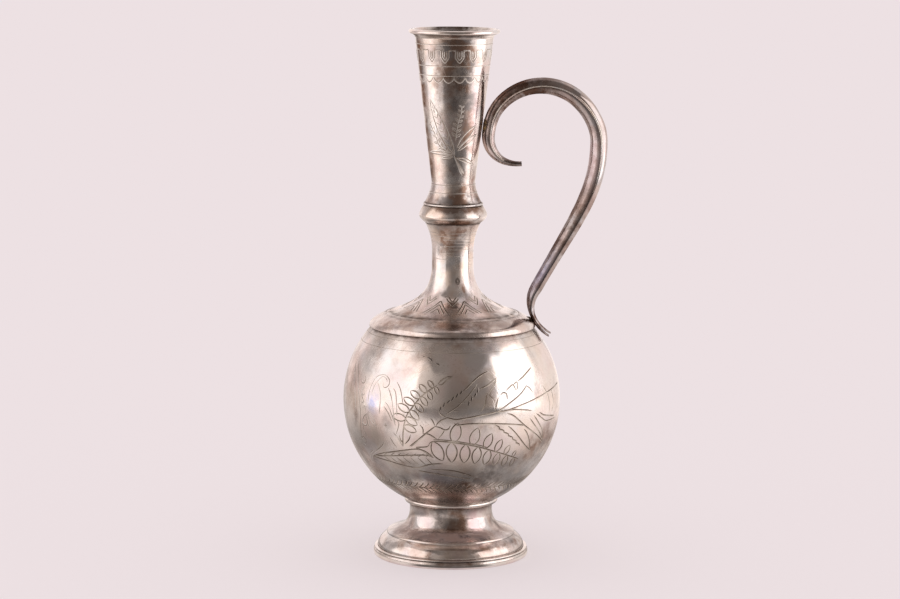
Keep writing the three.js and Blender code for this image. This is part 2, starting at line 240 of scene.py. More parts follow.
# a patch has its size as a share of one in the look, the detail and roughness of its noise,
# a shift of the seed, and where it starts and is full
silverPatches = {
    "tan": ("patchSize", 1.0, 4.0, 0.60, 0.0, 0.40, 0.66),
    "brown": ("patchSize", 0.7, 6.0, 0.68, 3.1, 0.50, 0.72),
    "pink": ("patchSize", 0.9, 2.0, 0.50, 7.7, 0.48, 0.64),
    "blue": ("patchSize", 0.8, 2.0, 0.50, 11.3, 0.52, 0.66),
    "specks": ("speckSize", 1.0, 3.0, 0.65, 1.9, 0.56, 0.70),
    "speckZone": ("patchSize", 0.6, 2.0, 0.50, 5.2, 0.46, 0.62),
    "break": ("breakSize", 1.0, 6.0, 0.66, 6.6, 0.28, 0.70),
    "tone": ("toneSize", 1.0, 3.0, 0.55, 15.1, 0.42, 0.58),
    "grime": ("grimeSize", 1.0, 4.0, 0.60, 9.4, 0.25, 0.70),
    "rub": ("patchSize", 1.3, 5.0, 0.65, 13.8, 0.36, 0.64),
}
silverScratches = [
    {"width": 0.00028, "length": 0.014, "turn": (20, 35, 12)},
    {"width": 0.00034, "length": 0.011, "turn": (-40, 10, 70)},
    {"width": 0.0005, "length": 0.04, "turn": (90, 0, 0)},
]


def agedSilver(name, **changes):
    look = {**silverLook, **changes}
    material, tree, shader, place = newMetal(name)

    def patch(kind, low=0.0, high=1.0):
        size, share, detail, rough, shift, start, full = silverPatches[kind]
        drift = cloud(tree, place, look[size] * share, detail, rough, look["seed"] + shift)
        return spread(tree, drift, start, full, low, high)

    tan = patch("tan", high=look["tanShare"])
    brown = patch("brown", high=look["brownShare"])
    pink = patch("pink", high=look["tintShare"])
    blue = patch("blue", high=look["tintShare"])
    specks = product(tree, patch("specks", high=look["speckShare"]), patch("speckZone"))
    # tarnish, tints, dirt and dust are painted on the mesh and broken up here; the tarnish and the dirt
    # carry painted shade as well
    broken = patch("break", low=0.35, high=1.45)
    tarnish = mathNode(tree, "MINIMUM", product(tree, fromMesh(tree, "tarnish"), broken), 1.0)
    blush, cool, dust = [product(tree, fromMesh(tree, layer), broken) for layer in ("blush", "cool", "dust")]
    dirtAndShade = product(tree, fromMesh(tree, "grime"), patch("grime", low=0.25))
    look["mixed"] = mixColours(tree, patch("tone"), look["tarnish"], look["steel"])
    # colour, from the clean metal up to the dust
    colour = look["clean"]
    for share, tone in ((tan, "tan"), (pink, "pink"), (blue, "blue"), (blush, "rose"), (cool, "sky"),
                        (brown, "brown"), (tarnish, "mixed"), (specks, "brown"), (dirtAndShade, "dirtAndShade"),
                        (dust, "dust")):
        colour = mixColours(tree, share, colour, look[tone])
    feed(tree, shader["Base Color"], colour)
    feed(tree, shader["Metallic"], spread(tree, dust, 0.0, 1.0, 1.0, 0.2))
    feed(tree, shader["Specular Tint"], mixColours(tree, tarnish, look["cleanGlance"], look["glance"]))
    # gloss: rubbed places shine, tarnished and scratched ones scatter
    rough = patch("rub", low=look["gloss"], high=look["dull"])
    for mask, more in ((brown, 0.25), (tarnish, 0.16), (specks, 0.25), (dirtAndShade, 0.4)):
        rough = mathNode(tree, "MULTIPLY_ADD", mask, more, rough)
    feed(tree, shader["Roughness"], rough)
    # relief: crossing polishing scratches, turning marks and shallow pits
    first, second, turned = [streaks(tree, place, **scratch) for scratch in silverScratches]
    relief = total(tree, spread(tree, first, 0.60, 0.74), spread(tree, second, 0.60, 0.74))
    for mask, more in ((turned, 0.5), (specks, 1.2)):
        relief = mathNode(tree, "MULTIPLY_ADD", mask, more, relief)
    emboss(tree, shader, relief, 1.0, look["scratchDepth"])
    return material


# soft patches of the cuts and the solder: size, detail and roughness of the noise, and a shift
cutPatches = {"worn": (0.006, 4.0, 0.6, 2.2), "rubbed": (0.009, 3.0, 0.6, 6.1)}
solderPatches = {"flow": (0.0022, 4.0, 0.6, 4.4), "pits": (0.0007, 3.0, 0.6, 8.8)}


def cutSilver(name, ridge, valley, gloss):
    # engraved line: a bright burr beside a dirty valley
    material, tree, shader, place = newMetal(name)
    worn = spread(tree, cloud(tree, place, *cutPatches["worn"]), 0.35, 0.65, 0.55, 1.0)
    share = product(tree, fromMesh(tree, "ridge"), worn)
    rubbed = spread(tree, cloud(tree, place, *cutPatches["rubbed"]), 0.45, 0.70, 0.0, 0.5)
    floor = mixColours(tree, rubbed, valley, ridge)
    feed(tree, shader["Base Color"], mixColours(tree, share, floor, ridge))
    feed(tree, shader["Roughness"], spread(tree, share, 0.0, 1.0, 0.5, gloss))
    return material


yellowSolder = {"light": (0.36, 0.25, 0.12), "grey": (0.16, 0.12, 0.09), "dark": (0.05, 0.036, 0.026)}
brownSolder = {"light": (0.20, 0.125, 0.085), "grey": (0.10, 0.07, 0.055), "dark": (0.03, 0.02, 0.015)}


def roughSolder(name, look):
    material, tree, shader, place = newMetal(name)
    flow = cloud(tree, place, *solderPatches["flow"])
    pits = cloud(tree, place, *solderPatches["pits"])
    colour = mixColours(tree, spread(tree, flow, 0.38, 0.62), look["light"], look["grey"])
    colour = mixColours(tree, spread(tree, pits, 0.52, 0.70), colour, look["dark"])
    feed(tree, shader["Base Color"], colour)
    feed(tree, shader["Roughness"], spread(tree, flow, 0.3, 0.7, 0.34, 0.62))
    emboss(tree, shader, pits, 0.8, 0.00012)
    return material


# Geometry Nodes helpers

def newTree(name, **inputs):
    # inputs: the names of each kind of socket; every tree takes geometry and a material as well
    tree = bpy.data.node_groups.new(name, "GeometryNodeTree")
    for kind, labels in {"Geometry": ["Geometry"], **inputs, "Material": ["Material"]}.items():
        for label in labels:
            tree.interface.new_socket(label, in_out="INPUT", socket_type="NodeSocket" + kind)
    tree.interface.new_socket("Geometry", in_out="OUTPUT", socket_type="NodeSocketGeometry")
    return tree, tree.nodes.new("NodeGroupInput").outputs


def endTree(tree, given, geometry):
    # every tree ends in real faces of one material
    real = addNode(tree, "GeometryNodeRealizeInstances", geometry=geometry)
    painted = addNode(tree, "GeometryNodeSetMaterial", geometry=real.outputs["Geometry"],
                      material=given["Material"])
    feed(tree, tree.nodes.new("NodeGroupOutput").inputs[0], painted.outputs["Geometry"])
    return tree


def bakeTree(piece, tree, values):
    # set the tree's inputs by identifier, evaluate it and keep the plain mesh
    modifier = piece.modifiers.new(tree.name, "NODES")
    modifier.node_group = tree
    sockets = [item for item in tree.interface.items_tree if item.in_out == "INPUT"]
    identifiers = {item.name: item.identifier for item in sockets}
    for label, value in values.items():
        modifier[identifiers[label]] = value
    graph = bpy.context.evaluated_depsgraph_get()
    mesh = bpy.data.meshes.new_from_object(piece.evaluated_get(graph))
    drawn = piece.data
    piece.modifiers.remove(modifier)
    piece.data = mesh
    bpy.data.meshes.remove(drawn)
    mesh.name = piece.name


# angle of a sharp edge in degrees, and how close points are welded in millimetres
finishes = {"sheet": (35, 0.004), "strip": (50, 0.004), "line": (60, 0.0005)}


def tidyMesh(mesh, finish):
    sharp, weld = finishes[finish]
    work = bmesh.new()
    work.from_mesh(mesh)
    bmesh.ops.remove_doubles(work, verts=work.verts, dist=weld * mm)
    bmesh.ops.recalc_face_normals(work, faces=work.faces)
    if work.calc_volume(signed=True) < 0:
        bmesh.ops.reverse_faces(work, faces=work.faces)
    work.to_mesh(mesh)
    work.free()
    mesh.shade_smooth()
    mesh.set_sharp_from_angle(angle=math.radians(sharp))


def addPiece(name, mesh):
    piece = bpy.data.objects.new(name, mesh)
    collection.objects.link(piece)
    return piece


def plainMesh(name, vertices, edges, faces=()):
    mesh = bpy.data.meshes.new(name)
    mesh.from_pydata(vertices, edges, faces)
    return mesh


def setLayer(mesh, layer, values):
    # a number at each point, which the silver reads
    mesh.attributes.new(layer, "FLOAT", "POINT").data.foreach_set("value", values)


def settle(piece, slot, *nodes):
    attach(piece, "root")
    if nodes:
        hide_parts(*nodes)
    return piece


# Spun sheet: a profile swept round the axis, with the shallow waves that hand work leaves in it

def spunTree():
    tree, given = newTree("spunSheet", Int=["Segments"],
                          Float=["Guide Radius", "Axis X", "Wave Height", "Wave Size", "Seed"])
    profile = addNode(tree, "GeometryNodeMeshToCurve", mesh=given["Geometry"])
    guide = addNode(tree, "GeometryNodeCurvePrimitiveCircle", resolution=given["Segments"],
                    radius=given["Guide Radius"])
    swept = addNode(tree, "GeometryNodeCurveToMesh", curve=guide.outputs["Curve"],
                    profile_curve=profile.outputs["Curve"])
    spot = addNode(tree, "GeometryNodeInputPosition").outputs[0]
    perSize = mathNode(tree, "DIVIDE", 1.0, given["Wave Size"])
    waves = addNode(tree, "ShaderNodeTexNoise", {"noise_dimensions": "4D"}, vector=spot, w=given["Seed"],
                    scale=perSize, detail=1.0)
    height = product(tree, less(tree, waves.outputs["Fac"], 0.5), given["Wave Height"])
    flat = mathNode(tree, "MULTIPLY", spot, (1, 1, 0), kind="ShaderNodeVectorMath")
    away = addNode(tree, "ShaderNodeVectorMath", {"operation": "LENGTH"}, vector=flat).outputs["Value"]
    # the waves die out towards the axis, where the sheet closes in a point
    share = mathNode(tree, "DIVIDE", height, mathNode(tree, "MAXIMUM", away, 0.006))
    push = addNode(tree, "ShaderNodeVectorMath", {"operation": "SCALE"}, vector=flat, scale=share)
    waved = addNode(tree, "GeometryNodeSetPosition", geometry=swept.outputs["Mesh"], offset=push.outputs[0])
    moved = addNode(tree, "GeometryNodeTransform", geometry=waved.outputs["Geometry"],
                    translation=vector(tree, x=given["Axis X"]))
    return endTree(tree, given, moved.outputs["Geometry"])


spunSheet = spunTree()
sheetGauge = 0.9


def spin(name, profile, node, material, seams=(), segments=192, waveHeight=0.0, waveSize=25.0, seed=0.0,
         closed=True):
    # the sweep's guide is a circle of the profile's widest radius, and its profile hangs upside down
    p = np.array(profile)
    guide = float(p[:, 0].max()) * mm
    spots = [(r * mm - guide, -z * mm, 0) for r, z in p]
    edges = [(i, i + 1) for i in range(len(p) - 1)] + ([(len(p) - 1, 0)] if closed else [])
    mesh = plainMesh(name, spots, edges)
    # a seam has the level of its dirt and how far that reaches; the same mark also lays painted shade under
    # an overhang
    setLayer(mesh, "grime", [max([math.exp(-abs(z - level) / reach) for level, reach in seams], default=0.0)
                             for r, z in p])
    piece = addPiece(name, mesh)
    bakeTree(piece, spunSheet, {"Segments": segments, "Guide Radius": guide, "Axis X": float(axisX) * mm,
                                "Wave Height": waveHeight * mm, "Wave Size": waveSize * mm, "Seed": seed,
                                "Material": material})
    tidyMesh(piece.data, "sheet")
    return settle(piece, "aged_silver", node)


def paint(piece, layer, spots=(), base=0.0, inside=()):
    # a spot has its azimuth from the front, its level, its spread each way and its strength
    mesh = piece.data
    places = np.empty(len(mesh.vertices) * 3)
    mesh.vertices.foreach_get("co", places)
    facing = np.empty(len(mesh.vertices) * 3)
    mesh.vertex_normals.foreach_get("vector", facing)
    x, y, z = places.reshape(-1, 3).T / mm
    outward = facing[0::3] * (x - axisX) + facing[1::3] * y
    azimuth = np.degrees(np.arctan2(x - axisX, -y))
    amount = np.full(len(x), base)
    for marks, side in ((spots, outward >= 0), (inside, outward < 0)):
        for angle, level, wide, high, strength in marks:
            aside = (azimuth - angle + 180) % 360 - 180
            amount += side * strength * np.exp(-(aside / wide) ** 2 - ((z - level) / high) ** 2)
    painted = mesh.attributes.get(layer) or mesh.attributes.new(layer, "FLOAT", "POINT")
    before = np.empty(len(x))
    painted.data.foreach_get("value", before)
    painted.data.foreach_set("value", np.clip(amount + before, 0, 1.2))


def halfRound(v):
    # section of a half-round wire; a cubic bows three quarters of the way to its control points
    pull = (v["radius"] - v["inner"]) * 4 / 3
    return bezier([(v["inner"], v["low"]), (v["inner"] + pull, v["low"]),
                   (v["inner"] + pull, v["high"]), (v["inner"], v["high"])], 16)


# Foot rim wire: half round, a groove, and a bead on top
footRim = {**span("foot_rim_wire"), "width": 1.9, "bead": 0.85, "beadOut": 0.15, "groove": 1.05}
rimTop = footRim["high"]


def footRimProfile(v):
    inner = v["radius"] - v["width"]
    neck = v["radius"] - v["groove"]
    top = v["high"] - v["bead"]
    outline = [(inner, 0.0), (neck, 0.0)]
    outline += bezier([(neck, 0), (v["radius"], 0), (v["radius"], top / 2)], 8)[1:]
    outline += bezier([(v["radius"], top / 2), (v["radius"], top), (neck, top)], 8)[1:]
    outline += arc((neck + v["beadOut"], top + v["bead"] / 2), v["bead"] / 2, -80, 90, 10)
    return outline + [(inner, v["high"])]


footMetal = agedSilver("footSilver", tanShare=0.55, brownShare=0.20, seed=0.31, patchSize=0.014, gloss=0.05,
                       dull=0.12)
rimMetal = agedSilver("wireSilver", tanShare=0.4, brownShare=0.15, gloss=0.07, dull=0.15, seed=0.9)
footRimPiece = spin("footRim", footRimProfile(footRim), "foot_rim_wire", rimMetal,
                    seams=[(rimTop - footRim["bead"], 0.25)], segments=224)
# tarnish, with painted shade across the front middle and along the upper half of the lower wire
paint(footRimPiece, "tarnish", base=0.03,
      spots=[(2, 2.4, 20, 1.4, 0.65), (0, 2.7, 400, 0.5, 0.3), (180, 2.0, 30, 2.0, 0.4)])

# Foot: dome, step, flare up to the waist, and the cup that holds the globe
foot = {**span("foot"), "domeFullness": 3.4, "stepRadius": 30.4, "stepLevel": 10.4, "stepHeight": 1.15,
        "stepRound": 0.9, "flareControl": (22.4, 13.6), "waistRadius": 19.6, "waistLevel": 22.6,
        "waistTurn": 6.8, "cupPull": 2.5, "topRadius": 20.4}


def footProfile(v):
    outline = [(v["radius"], v["low"]), (v["radius"], rimTop)]
    outline += bezier([outline[-1], (v["radius"], rimTop + v["domeFullness"]),
                       (v["stepRadius"], v["stepLevel"])], 22)[1:]
    # the step is a small rounded bead above a crease
    crest = (v["stepRadius"] - v["stepRound"], v["stepLevel"] + v["stepHeight"] - v["stepRound"])
    outline += arc(crest, v["stepRound"], 0, 70, 6)
    flare = [(crest[0] - v["stepRound"] * 0.3, crest[1] + v["stepRound"] * 1.1), v["flareControl"],
             (v["waistRadius"], v["waistLevel"] - v["waistTurn"]), (v["waistRadius"], v["waistLevel"])]
    outline += bezier(flare, 40)
    outline += bezier([(v["waistRadius"], v["waistLevel"]), (v["waistRadius"], v["high"] - v["cupPull"]),
                       (v["topRadius"], v["high"])], 8)[1:]
    return outline


footPiece = spin("footDish", wall(footProfile(foot), sheetGauge), "foot", footMetal, waveHeight=0.12,
                 waveSize=12, seed=1.0, seams=[(rimTop, 0.4), (foot["high"] - 2.2, 0.7)])
# tarnish, with painted shade down the front middle of the waist and round the softbox highlights on the
# waist and dome
paint(footPiece, "tarnish", base=0.06, spots=[
    (1, 17, 22, 5.5, 0.70), (2, 22.5, 22, 2.2, 0.5), (4, 8, 26, 3, 0.25), (50, 9, 30, 1.8, 0.5),
    (-48, 8.3, 16, 1.4, 0.60), (42, 8.4, 16, 1.4, 0.65), (150, 12, 40, 8, 0.3), (75, 17, 22, 6, 0.6),
    (-75, 17, 22, 6, 0.3), (-60, 13.5, 14, 2.8, 0.6), (0, 25.6, 300, 2.0, 0.6), (66, 6.5, 14, 3, 0.4),
    (44, 5.0, 16, 1.6, 0.25), (-66, 6.5, 14, 3, 0.4), (-34, 23.0, 8, 1.6, 0.4), (-19, 18, 6, 7, 0.8),
    (16, 19, 6, 5, 0.6), (-18, 5.5, 5, 2.5, 0.7)])
paint(footPiece, "dust", spots=[(0, 13.0, 75, 1.5, 1.0), (180, 13.0, 70, 1.5, 0.6)])
paint(footPiece, "blush", spots=[(33, 18, 13, 5, 1.2), (33, 7, 22, 3, 0.3), (30, 24, 20, 2, 0.7),
                                 (35, 9.5, 16, 1.5, 0.7), (-33, 18, 13, 5, 0.5)])

# Foot collar: half-round wire close up under the globe
collar = {**span("foot_collar"), "inner": foot["topRadius"] + solderGap}
collarPiece = spin("footCollar", halfRound(collar), "foot_collar", rimMetal, seams=[(collar["low"], 0.3)])
paint(collarPiece, "tarnish", base=0.10, spots=[(60, collar["low"], 24, 1.5, 0.3)])
print("foot pieces done")

# Globe: its lower half is hammered a little deeper than a true ball
globe = {**span("body"), "deeper": 1.026}
globe["level"] = globe["low"] + globe["radius"]
globe["mouthAngle"] = math.degrees(math.asin((globe["high"] - globe["level"]) / globe["radius"]))
globeMetal = agedSilver("globeSilver", seed=2.4, patchSize=0.021, gloss=0.10, dull=0.24)


def deepen(outline):
    level = globe["level"]
    return [(r, z if z > level else level + (z - level) * globe["deeper"]) for r, z in outline]


globeMiddle = (0, globe["level"])
globeOuter = deepen(arc(globeMiddle, globe["radius"], -90, globe["mouthAngle"], 120))
globeInner = deepen(arc(globeMiddle, globe["radius"] - sheetGauge, globe["mouthAngle"], -90, 60))
# dirt at the collar and under the moulding; below the moulding it reaches further, as painted shade under
# the undercut
globePiece = spin("globe", globeOuter + globeInner, "body", globeMetal, segments=256, waveHeight=0.30,
                  waveSize=26, seed=2.0, closed=False,
                  seams=[(collar["high"], 0.8), (span("shoulder_moulding")["low"], 1.3)])
# tarnish, with painted shade that dims the reflections at the edges, round the softbox highlights and in the
# low band that mirrors the table in the jug's shadow; negative spots thin the tarnish
globeSpots = [
    (-82, 72, 14, 40, 0.25), (82, 56, 16, 14, 0.45), (62, 58, 9, 8, 0.42), (-53, 102, 7, 5.5, 0.65),
    (-51, 93, 5, 5, 0.35), (9, 108, 27, 2.8, 0.70), (47, 54, 8, 5, 0.25),
    (180, 108, 100, 2.6, 0.5), (-47, 50, 7, 4, 0.25), (-60, 52, 10, 8, 0.25),
    (-25, 51.5, 10, 2.0, 0.40), (34, 50, 8, 3, 0.30), (51, 84, 2.5, 6, 0.5), (54, 97, 3, 9, 0.3),
    (47, 109, 2, 4, 0.5), (-20, 103, 6, 4, 0.35), (-28, 56.8, 6, 1.0, 0.5), (-52, 76, 3, 9, 0.2),
    (12, 39.5, 12, 2.5, 0.3), (0, 40, 60, 10.5, 0.48), (180, 40, 80, 10.5, 0.45), (-22, 34.5, 8, 2.6, -0.4),
    (16, 34.5, 7, 2.6, -0.35), (-66, 84, 6, 8, 0.3), (140, 80, 40, 20, 0.25), (-150, 95, 30, 18, 0.3),
    (-36, 71, 4, 6, 0.5), (-38, 80, 6, 3, 0.2), (-61, 71, 4, 7, 0.5), (9, 73, 8, 2, 0.35),
    (19, 70, 7, 3, 0.5), (-29, 41, 8, 3, 0.55), (-49, 32, 8, 4, 0.5), (24, 50, 11, 3.2, 0.5),
    (51, 55, 8, 4, 0.35), (50, 61, 5, 4, 0.5), (25, 43, 9, 4, 0.45), (47, 33, 8, 4, 0.45),
    (61, 65, 6, 5, 0.35), (73, 77, 5, 14, 0.2), (28, 104, 4, 3, 0.4), (-43, 106, 6, 3, 0.45),
    (-26, 99, 10, 5, 0.12), (14, 42, 7, 3, 0.35),
]
paint(globePiece, "tarnish", spots=globeSpots, base=0.03)
paint(globePiece, "blush", spots=[(-30, 92, 9, 5, 0.25), (-24, 96, 5, 4, 0.3), (-42, 88, 8, 5, 0.2),
                                  (-8, 62, 26, 8, 0.45), (25, 60, 20, 8, 0.45)])
paint(globePiece, "cool", spots=[(-45.5, 80, 4, 5.5, 1.1), (60, 70, 8, 6, 0.2), (-6, 44.5, 18, 2.5, 0.4)])

# Shoulder moulding: convex band on the globe's curve, undercut below
moulding = {**span("shoulder_moulding"), "lowRadius": 38.5, "topRadius": 31.4, "lowEdge": 0.75,
            "topEdge": 0.15, "gap": 0.1, "fall": (37.0, 38.2), "turn": (39.1, 37.2), "lip": (39.25, 34.7)}


def mouldingProfile(v):
    # fall, turn and lip are radius and height above the globe's middle
    seat = globe["radius"] + v["gap"]
    low = math.acos(v["lowRadius"] / seat)
    top = math.acos(v["topRadius"] / seat)
    edge = seat + v["topEdge"]
    start = (edge * math.cos(top), globe["level"] + edge * math.sin(top))
    curve = [(radius, globe["level"] + up) for radius, up in (v["fall"], v["turn"], v["lip"])]
    outline = bezier([start] + curve, 30)[::-1]
    return outline + arc(globeMiddle, seat, math.degrees(top), math.degrees(low), 16)


shoulderMetal = agedSilver("shoulderSilver", seed=4.1, patchSize=0.012, tanShare=0.8, brownShare=0.22,
                           tan=(0.78, 0.61, 0.50))
mouldingMetal = agedSilver("mouldingSilver", seed=5.6, patchSize=0.012, tanShare=0.8, tintShare=0.15,
                           brownShare=0.35, gloss=0.07, dull=0.16, steel=(0.23, 0.17, 0.145))
mouldingPiece = spin("shoulderMoulding", mouldingProfile(moulding), "shoulder_moulding", mouldingMetal,
                     seams=[(moulding["low"], 0.5), (moulding["high"] - 0.3, 0.4)], waveHeight=0.10,
                     waveSize=15, seed=3.0)
# tarnish, with painted shade on the upper band and beside the softbox highlights
paint(mouldingPiece, "tarnish", base=0.06, spots=[
    (0, 114.9, 40, 1.8, 0.60), (4, 111, 18, 3, 0.15), (16, 112.5, 17, 2.2, 0.45), (-52, 112.8, 16, 2.6, 0.5),
    (180, 113, 80, 4, 0.25)])
paint(mouldingPiece, "blush", base=0.2)

# Shoulder and lower neck
shoulder = {**span("shoulder_neck"), "hemRadius": 31.0, "rise": 22.6, "reach": 10.0, "slope": 0.35,
            "turn": 15.6, "throatRadius": 9.8, "throatLength": 7.0, "flareRise": 13.0, "flareRadius": 13.0}
shoulder["level"] = globe["level"] + math.sqrt(globe["radius"] ** 2 - shoulder["hemRadius"] ** 2)


def shoulderProfile(v):
    throat = v["level"] + v["rise"]
    straight = throat + v["throatLength"]
    hemAngle = globe["mouthAngle"] + math.degrees(solderGap / globe["radius"])
    leaveAngle = math.degrees(math.acos(v["hemRadius"] / globe["radius"]))
    outline = arc(globeMiddle, globe["radius"], hemAngle, leaveAngle, 6)[:-1]
    outline += bezier([(v["hemRadius"], v["level"]),
                       (v["hemRadius"] - v["reach"], v["level"] + v["reach"] * v["slope"]),
                       (v["throatRadius"], throat - v["turn"]), (v["throatRadius"], throat)], 60)
    outline += [(v["throatRadius"], throat + v["throatLength"] * s / 6) for s in range(1, 6)]
    outline += bezier([(v["throatRadius"], straight), (v["throatRadius"], straight + v["flareRise"] / 2),
                       (v["flareRadius"], v["high"])], 18)
    return outline


shoulderOuter = shoulderProfile(shoulder)
shoulderPiece = spin("shoulderNeck", wall(shoulderOuter, sheetGauge), "shoulder_neck", shoulderMetal,
                     seams=[(moulding["high"] + 0.4, 0.6), (shoulder["high"], 0.7)], waveHeight=0.16,
                     waveSize=16, seed=4.0)
# tarnish, with painted shade on the flare under the knop and along the edges of the softbox highlights
paint(shoulderPiece, "tarnish", spots=[
    (12, 154, 48, 8, 0.85), (0, 149, 28, 3.5, 0.45), (-33, 147, 14, 5, 0.50), (-13, 118.3, 15, 2.4, 0.55),
    (16, 118.3, 10, 2.4, 0.45), (27, 127, 6, 4, 0.7), (-30, 126, 6, 3, 0.4), (13, 132.4, 4.5, 1.4, 1.2),
    (-70, 137, 16, 14, 0.45), (-24, 153, 10, 4.5, 0.55), (20, 153, 9, 4.5, 0.45), (24, 131, 6, 4, 0.5),
    (-20, 130, 5, 3, 0.4), (-55, 118, 14, 2, 0.45), (47, 119, 11, 2.4, 0.75), (-30, 117.6, 14, 2, 0.4),
    (-42, 146, 8, 5, 0.3), (27, 131, 6, 3, 0.35), (180, 130, 50, 14, 0.2)])
paint(shoulderPiece, "blush", spots=[(-35, 122, 30, 5, 0.5), (40, 122, 30, 5, 0.5), (60, 132, 20, 6, 0.5)])

# Knop and its wire
knop = {**span("knop"), "crest": 3.7, "crestPull": 0.35, "baseRadius": 13.0, "topRadius": 13.8}
knopWire = {**span("knop_wire"), "inner": 12.5}


def knopProfile(v):
    crest = v["low"] + v["crest"]
    above = crest * (1 - v["crestPull"]) + v["high"] * v["crestPull"]
    below = (v["low"] + crest) / 2
    lower = bezier([(v["baseRadius"], v["low"]), (v["radius"], below), (v["radius"], crest)], 16)
    upper = bezier([(v["radius"], crest), (v["radius"], above), (v["topRadius"], v["high"])], 14)
    return lower + upper[1:]


def roundWire(v):
    half = (v["high"] - v["low"]) / 2
    edge = arc((v["radius"] - half, v["low"] + half), half, -90, 90, 12)
    return [(v["inner"], v["low"])] + edge + [(v["inner"], v["high"])]


neckMetal = agedSilver("neckSilver", seed=6.3, patchSize=0.016, tanShare=0.6, brownShare=0.28, gloss=0.08,
                       dull=0.17, tintShare=0.5)
knopPiece = spin("knopBand", wall(knopProfile(knop), sheetGauge), "knop", mouldingMetal, segments=128,
                 waveHeight=0.08, waveSize=9, seams=[(knop["low"], 0.6), (knop["high"], 0.5)], seed=5.0)
# tarnish, with painted shade on the upper face and the underside
paint(knopPiece, "tarnish", base=0.08, spots=[
    (0, 167.0, 60, 2.0, 1.2), (14, 159.6, 48, 2.0, 1.1), (0, 163.5, 14, 3, 0.6), (45, 165.5, 20, 3, 0.35),
    (180, 163, 80, 6, 0.3)])
knopWirePiece = spin("knopWire", roundWire(knopWire), "knop_wire", rimMetal,
                     seams=[(knopWire["low"], 0.2), (knopWire["high"], 0.2)], segments=128)
paint(knopWirePiece, "tarnish", base=0.2)

# Upper neck: the tall beaker with its lip, and the wire round the mouth
beaker = {**span("neck_beaker"), "footRadius": 13.4, "waistRadius": 10.3, "waistLevel": 9.6, "lowPull": 9.6,
          "lowTaper": 0.108, "highPull": 17.5, "highTaper": 0.11, "lipRadius": 18.3, "lipLevel": 76.8,
          "seatRadius": 20.0, "edgeDepth": 1.0, "edgeFlare": 1.3}
mouthRim = {**span("mouth_rim_wire"), "inner": beaker["seatRadius"] + solderGap}


def beakerProfile(v):
    waist = v["low"] + v["waistLevel"]
    lip = v["low"] + v["lipLevel"]
    outline = bezier([(v["footRadius"], v["low"]),
                      (v["waistRadius"] + sheetGauge / 2, (v["low"] + waist) / 2),
                      (v["waistRadius"], waist)], 16)
    outline += bezier([(v["waistRadius"], waist),
                       (v["waistRadius"] + v["lowPull"] * v["lowTaper"], waist + v["lowPull"]),
                       (v["lipRadius"] - v["highPull"] * v["highTaper"], lip - v["highPull"]),
                       (v["lipRadius"], lip)], 60)[1:]
    outline += bezier([(v["lipRadius"], lip), (v["lipRadius"], (lip + mouthRim["low"]) / 2),
                       (v["seatRadius"], mouthRim["low"])], 10)[1:]
    return outline + [(v["seatRadius"], v["high"])]


beakerOuter = beakerProfile(beaker)


def straightInside(v):
    # inside the lip the sheet runs on straight, and only its edge is rounded over to the wire
    lip = v["low"] + v["lipLevel"]
    both = wall(beakerOuter, sheetGauge)
    inner = []
    for radius, level in both[len(beakerOuter):]:
        straight = v["lipRadius"] - sheetGauge + (level - lip) * v["highTaper"]
        edge = max(level - v["high"] + v["edgeDepth"], 0)
        inner.append((min(radius, straight + v["edgeFlare"] * edge ** 2), level))
    return both[:len(beakerOuter)] + inner


beakerPiece = spin("neckBeaker", straightInside(beaker), "neck_beaker", neckMetal, waveHeight=0.09,
                   waveSize=22, seed=6.0, seams=[(beaker["low"], 0.6), (mouthRim["low"], 0.4)])
# tarnish, with painted shade down the front middle where the neck mirrors the dark room, along the edges of
# the softbox highlights, and inside the mouth
beakerSpots = [
    (-68, 224, 13, 30, 0.80), (-66, 241, 13, 8, 0.25), (42, 206, 12, 20, 0.30), (-70, 188, 18, 16, 0.65),
    (78, 215, 13, 36, 0.10), (-31, 222, 14, 40, 0.45), (33, 215, 11, 45, 0.32), (4, 240, 28, 12, 0.75),
    (4, 222, 20, 22, 0.75), (4, 181, 24, 12, 0.85), (28, 173, 10, 4, 0.9), (62, 178, 16, 10, 0.5),
    (6, 170.6, 65, 2.2, 0.9), (180, 210, 40, 30, 0.2), (130, 190, 20, 12, 0.3), (24, 222, 7, 28, 0.45),
    (25, 186, 7, 18, 0.45),
]
paint(beakerPiece, "tarnish", base=0.09, spots=beakerSpots,
      inside=[(180, 247, 20, 14, 1.2), (0, 190, 400, 25, 0.5)])
# painted shade deep in the far side of the mouth, in the dirt colour
paint(beakerPiece, "grime", inside=[(180, 248, 26, 16, 3.0)])
paint(beakerPiece, "blush", spots=[(38, 211, 15, 20, 1.0), (-34, 180, 14, 8, 0.4)])
mouthRimPiece = spin("mouthRim", halfRound(mouthRim), "mouth_rim_wire", rimMetal,
                     seams=[(mouthRim["low"], 0.3)], segments=160)
# tarnish, with painted shade across the front middle of the wire
paint(mouthRimPiece, "tarnish", base=0.06, spots=[(0, 248.5, 24, 2, 0.35)])
print("globe, shoulder and neck done")

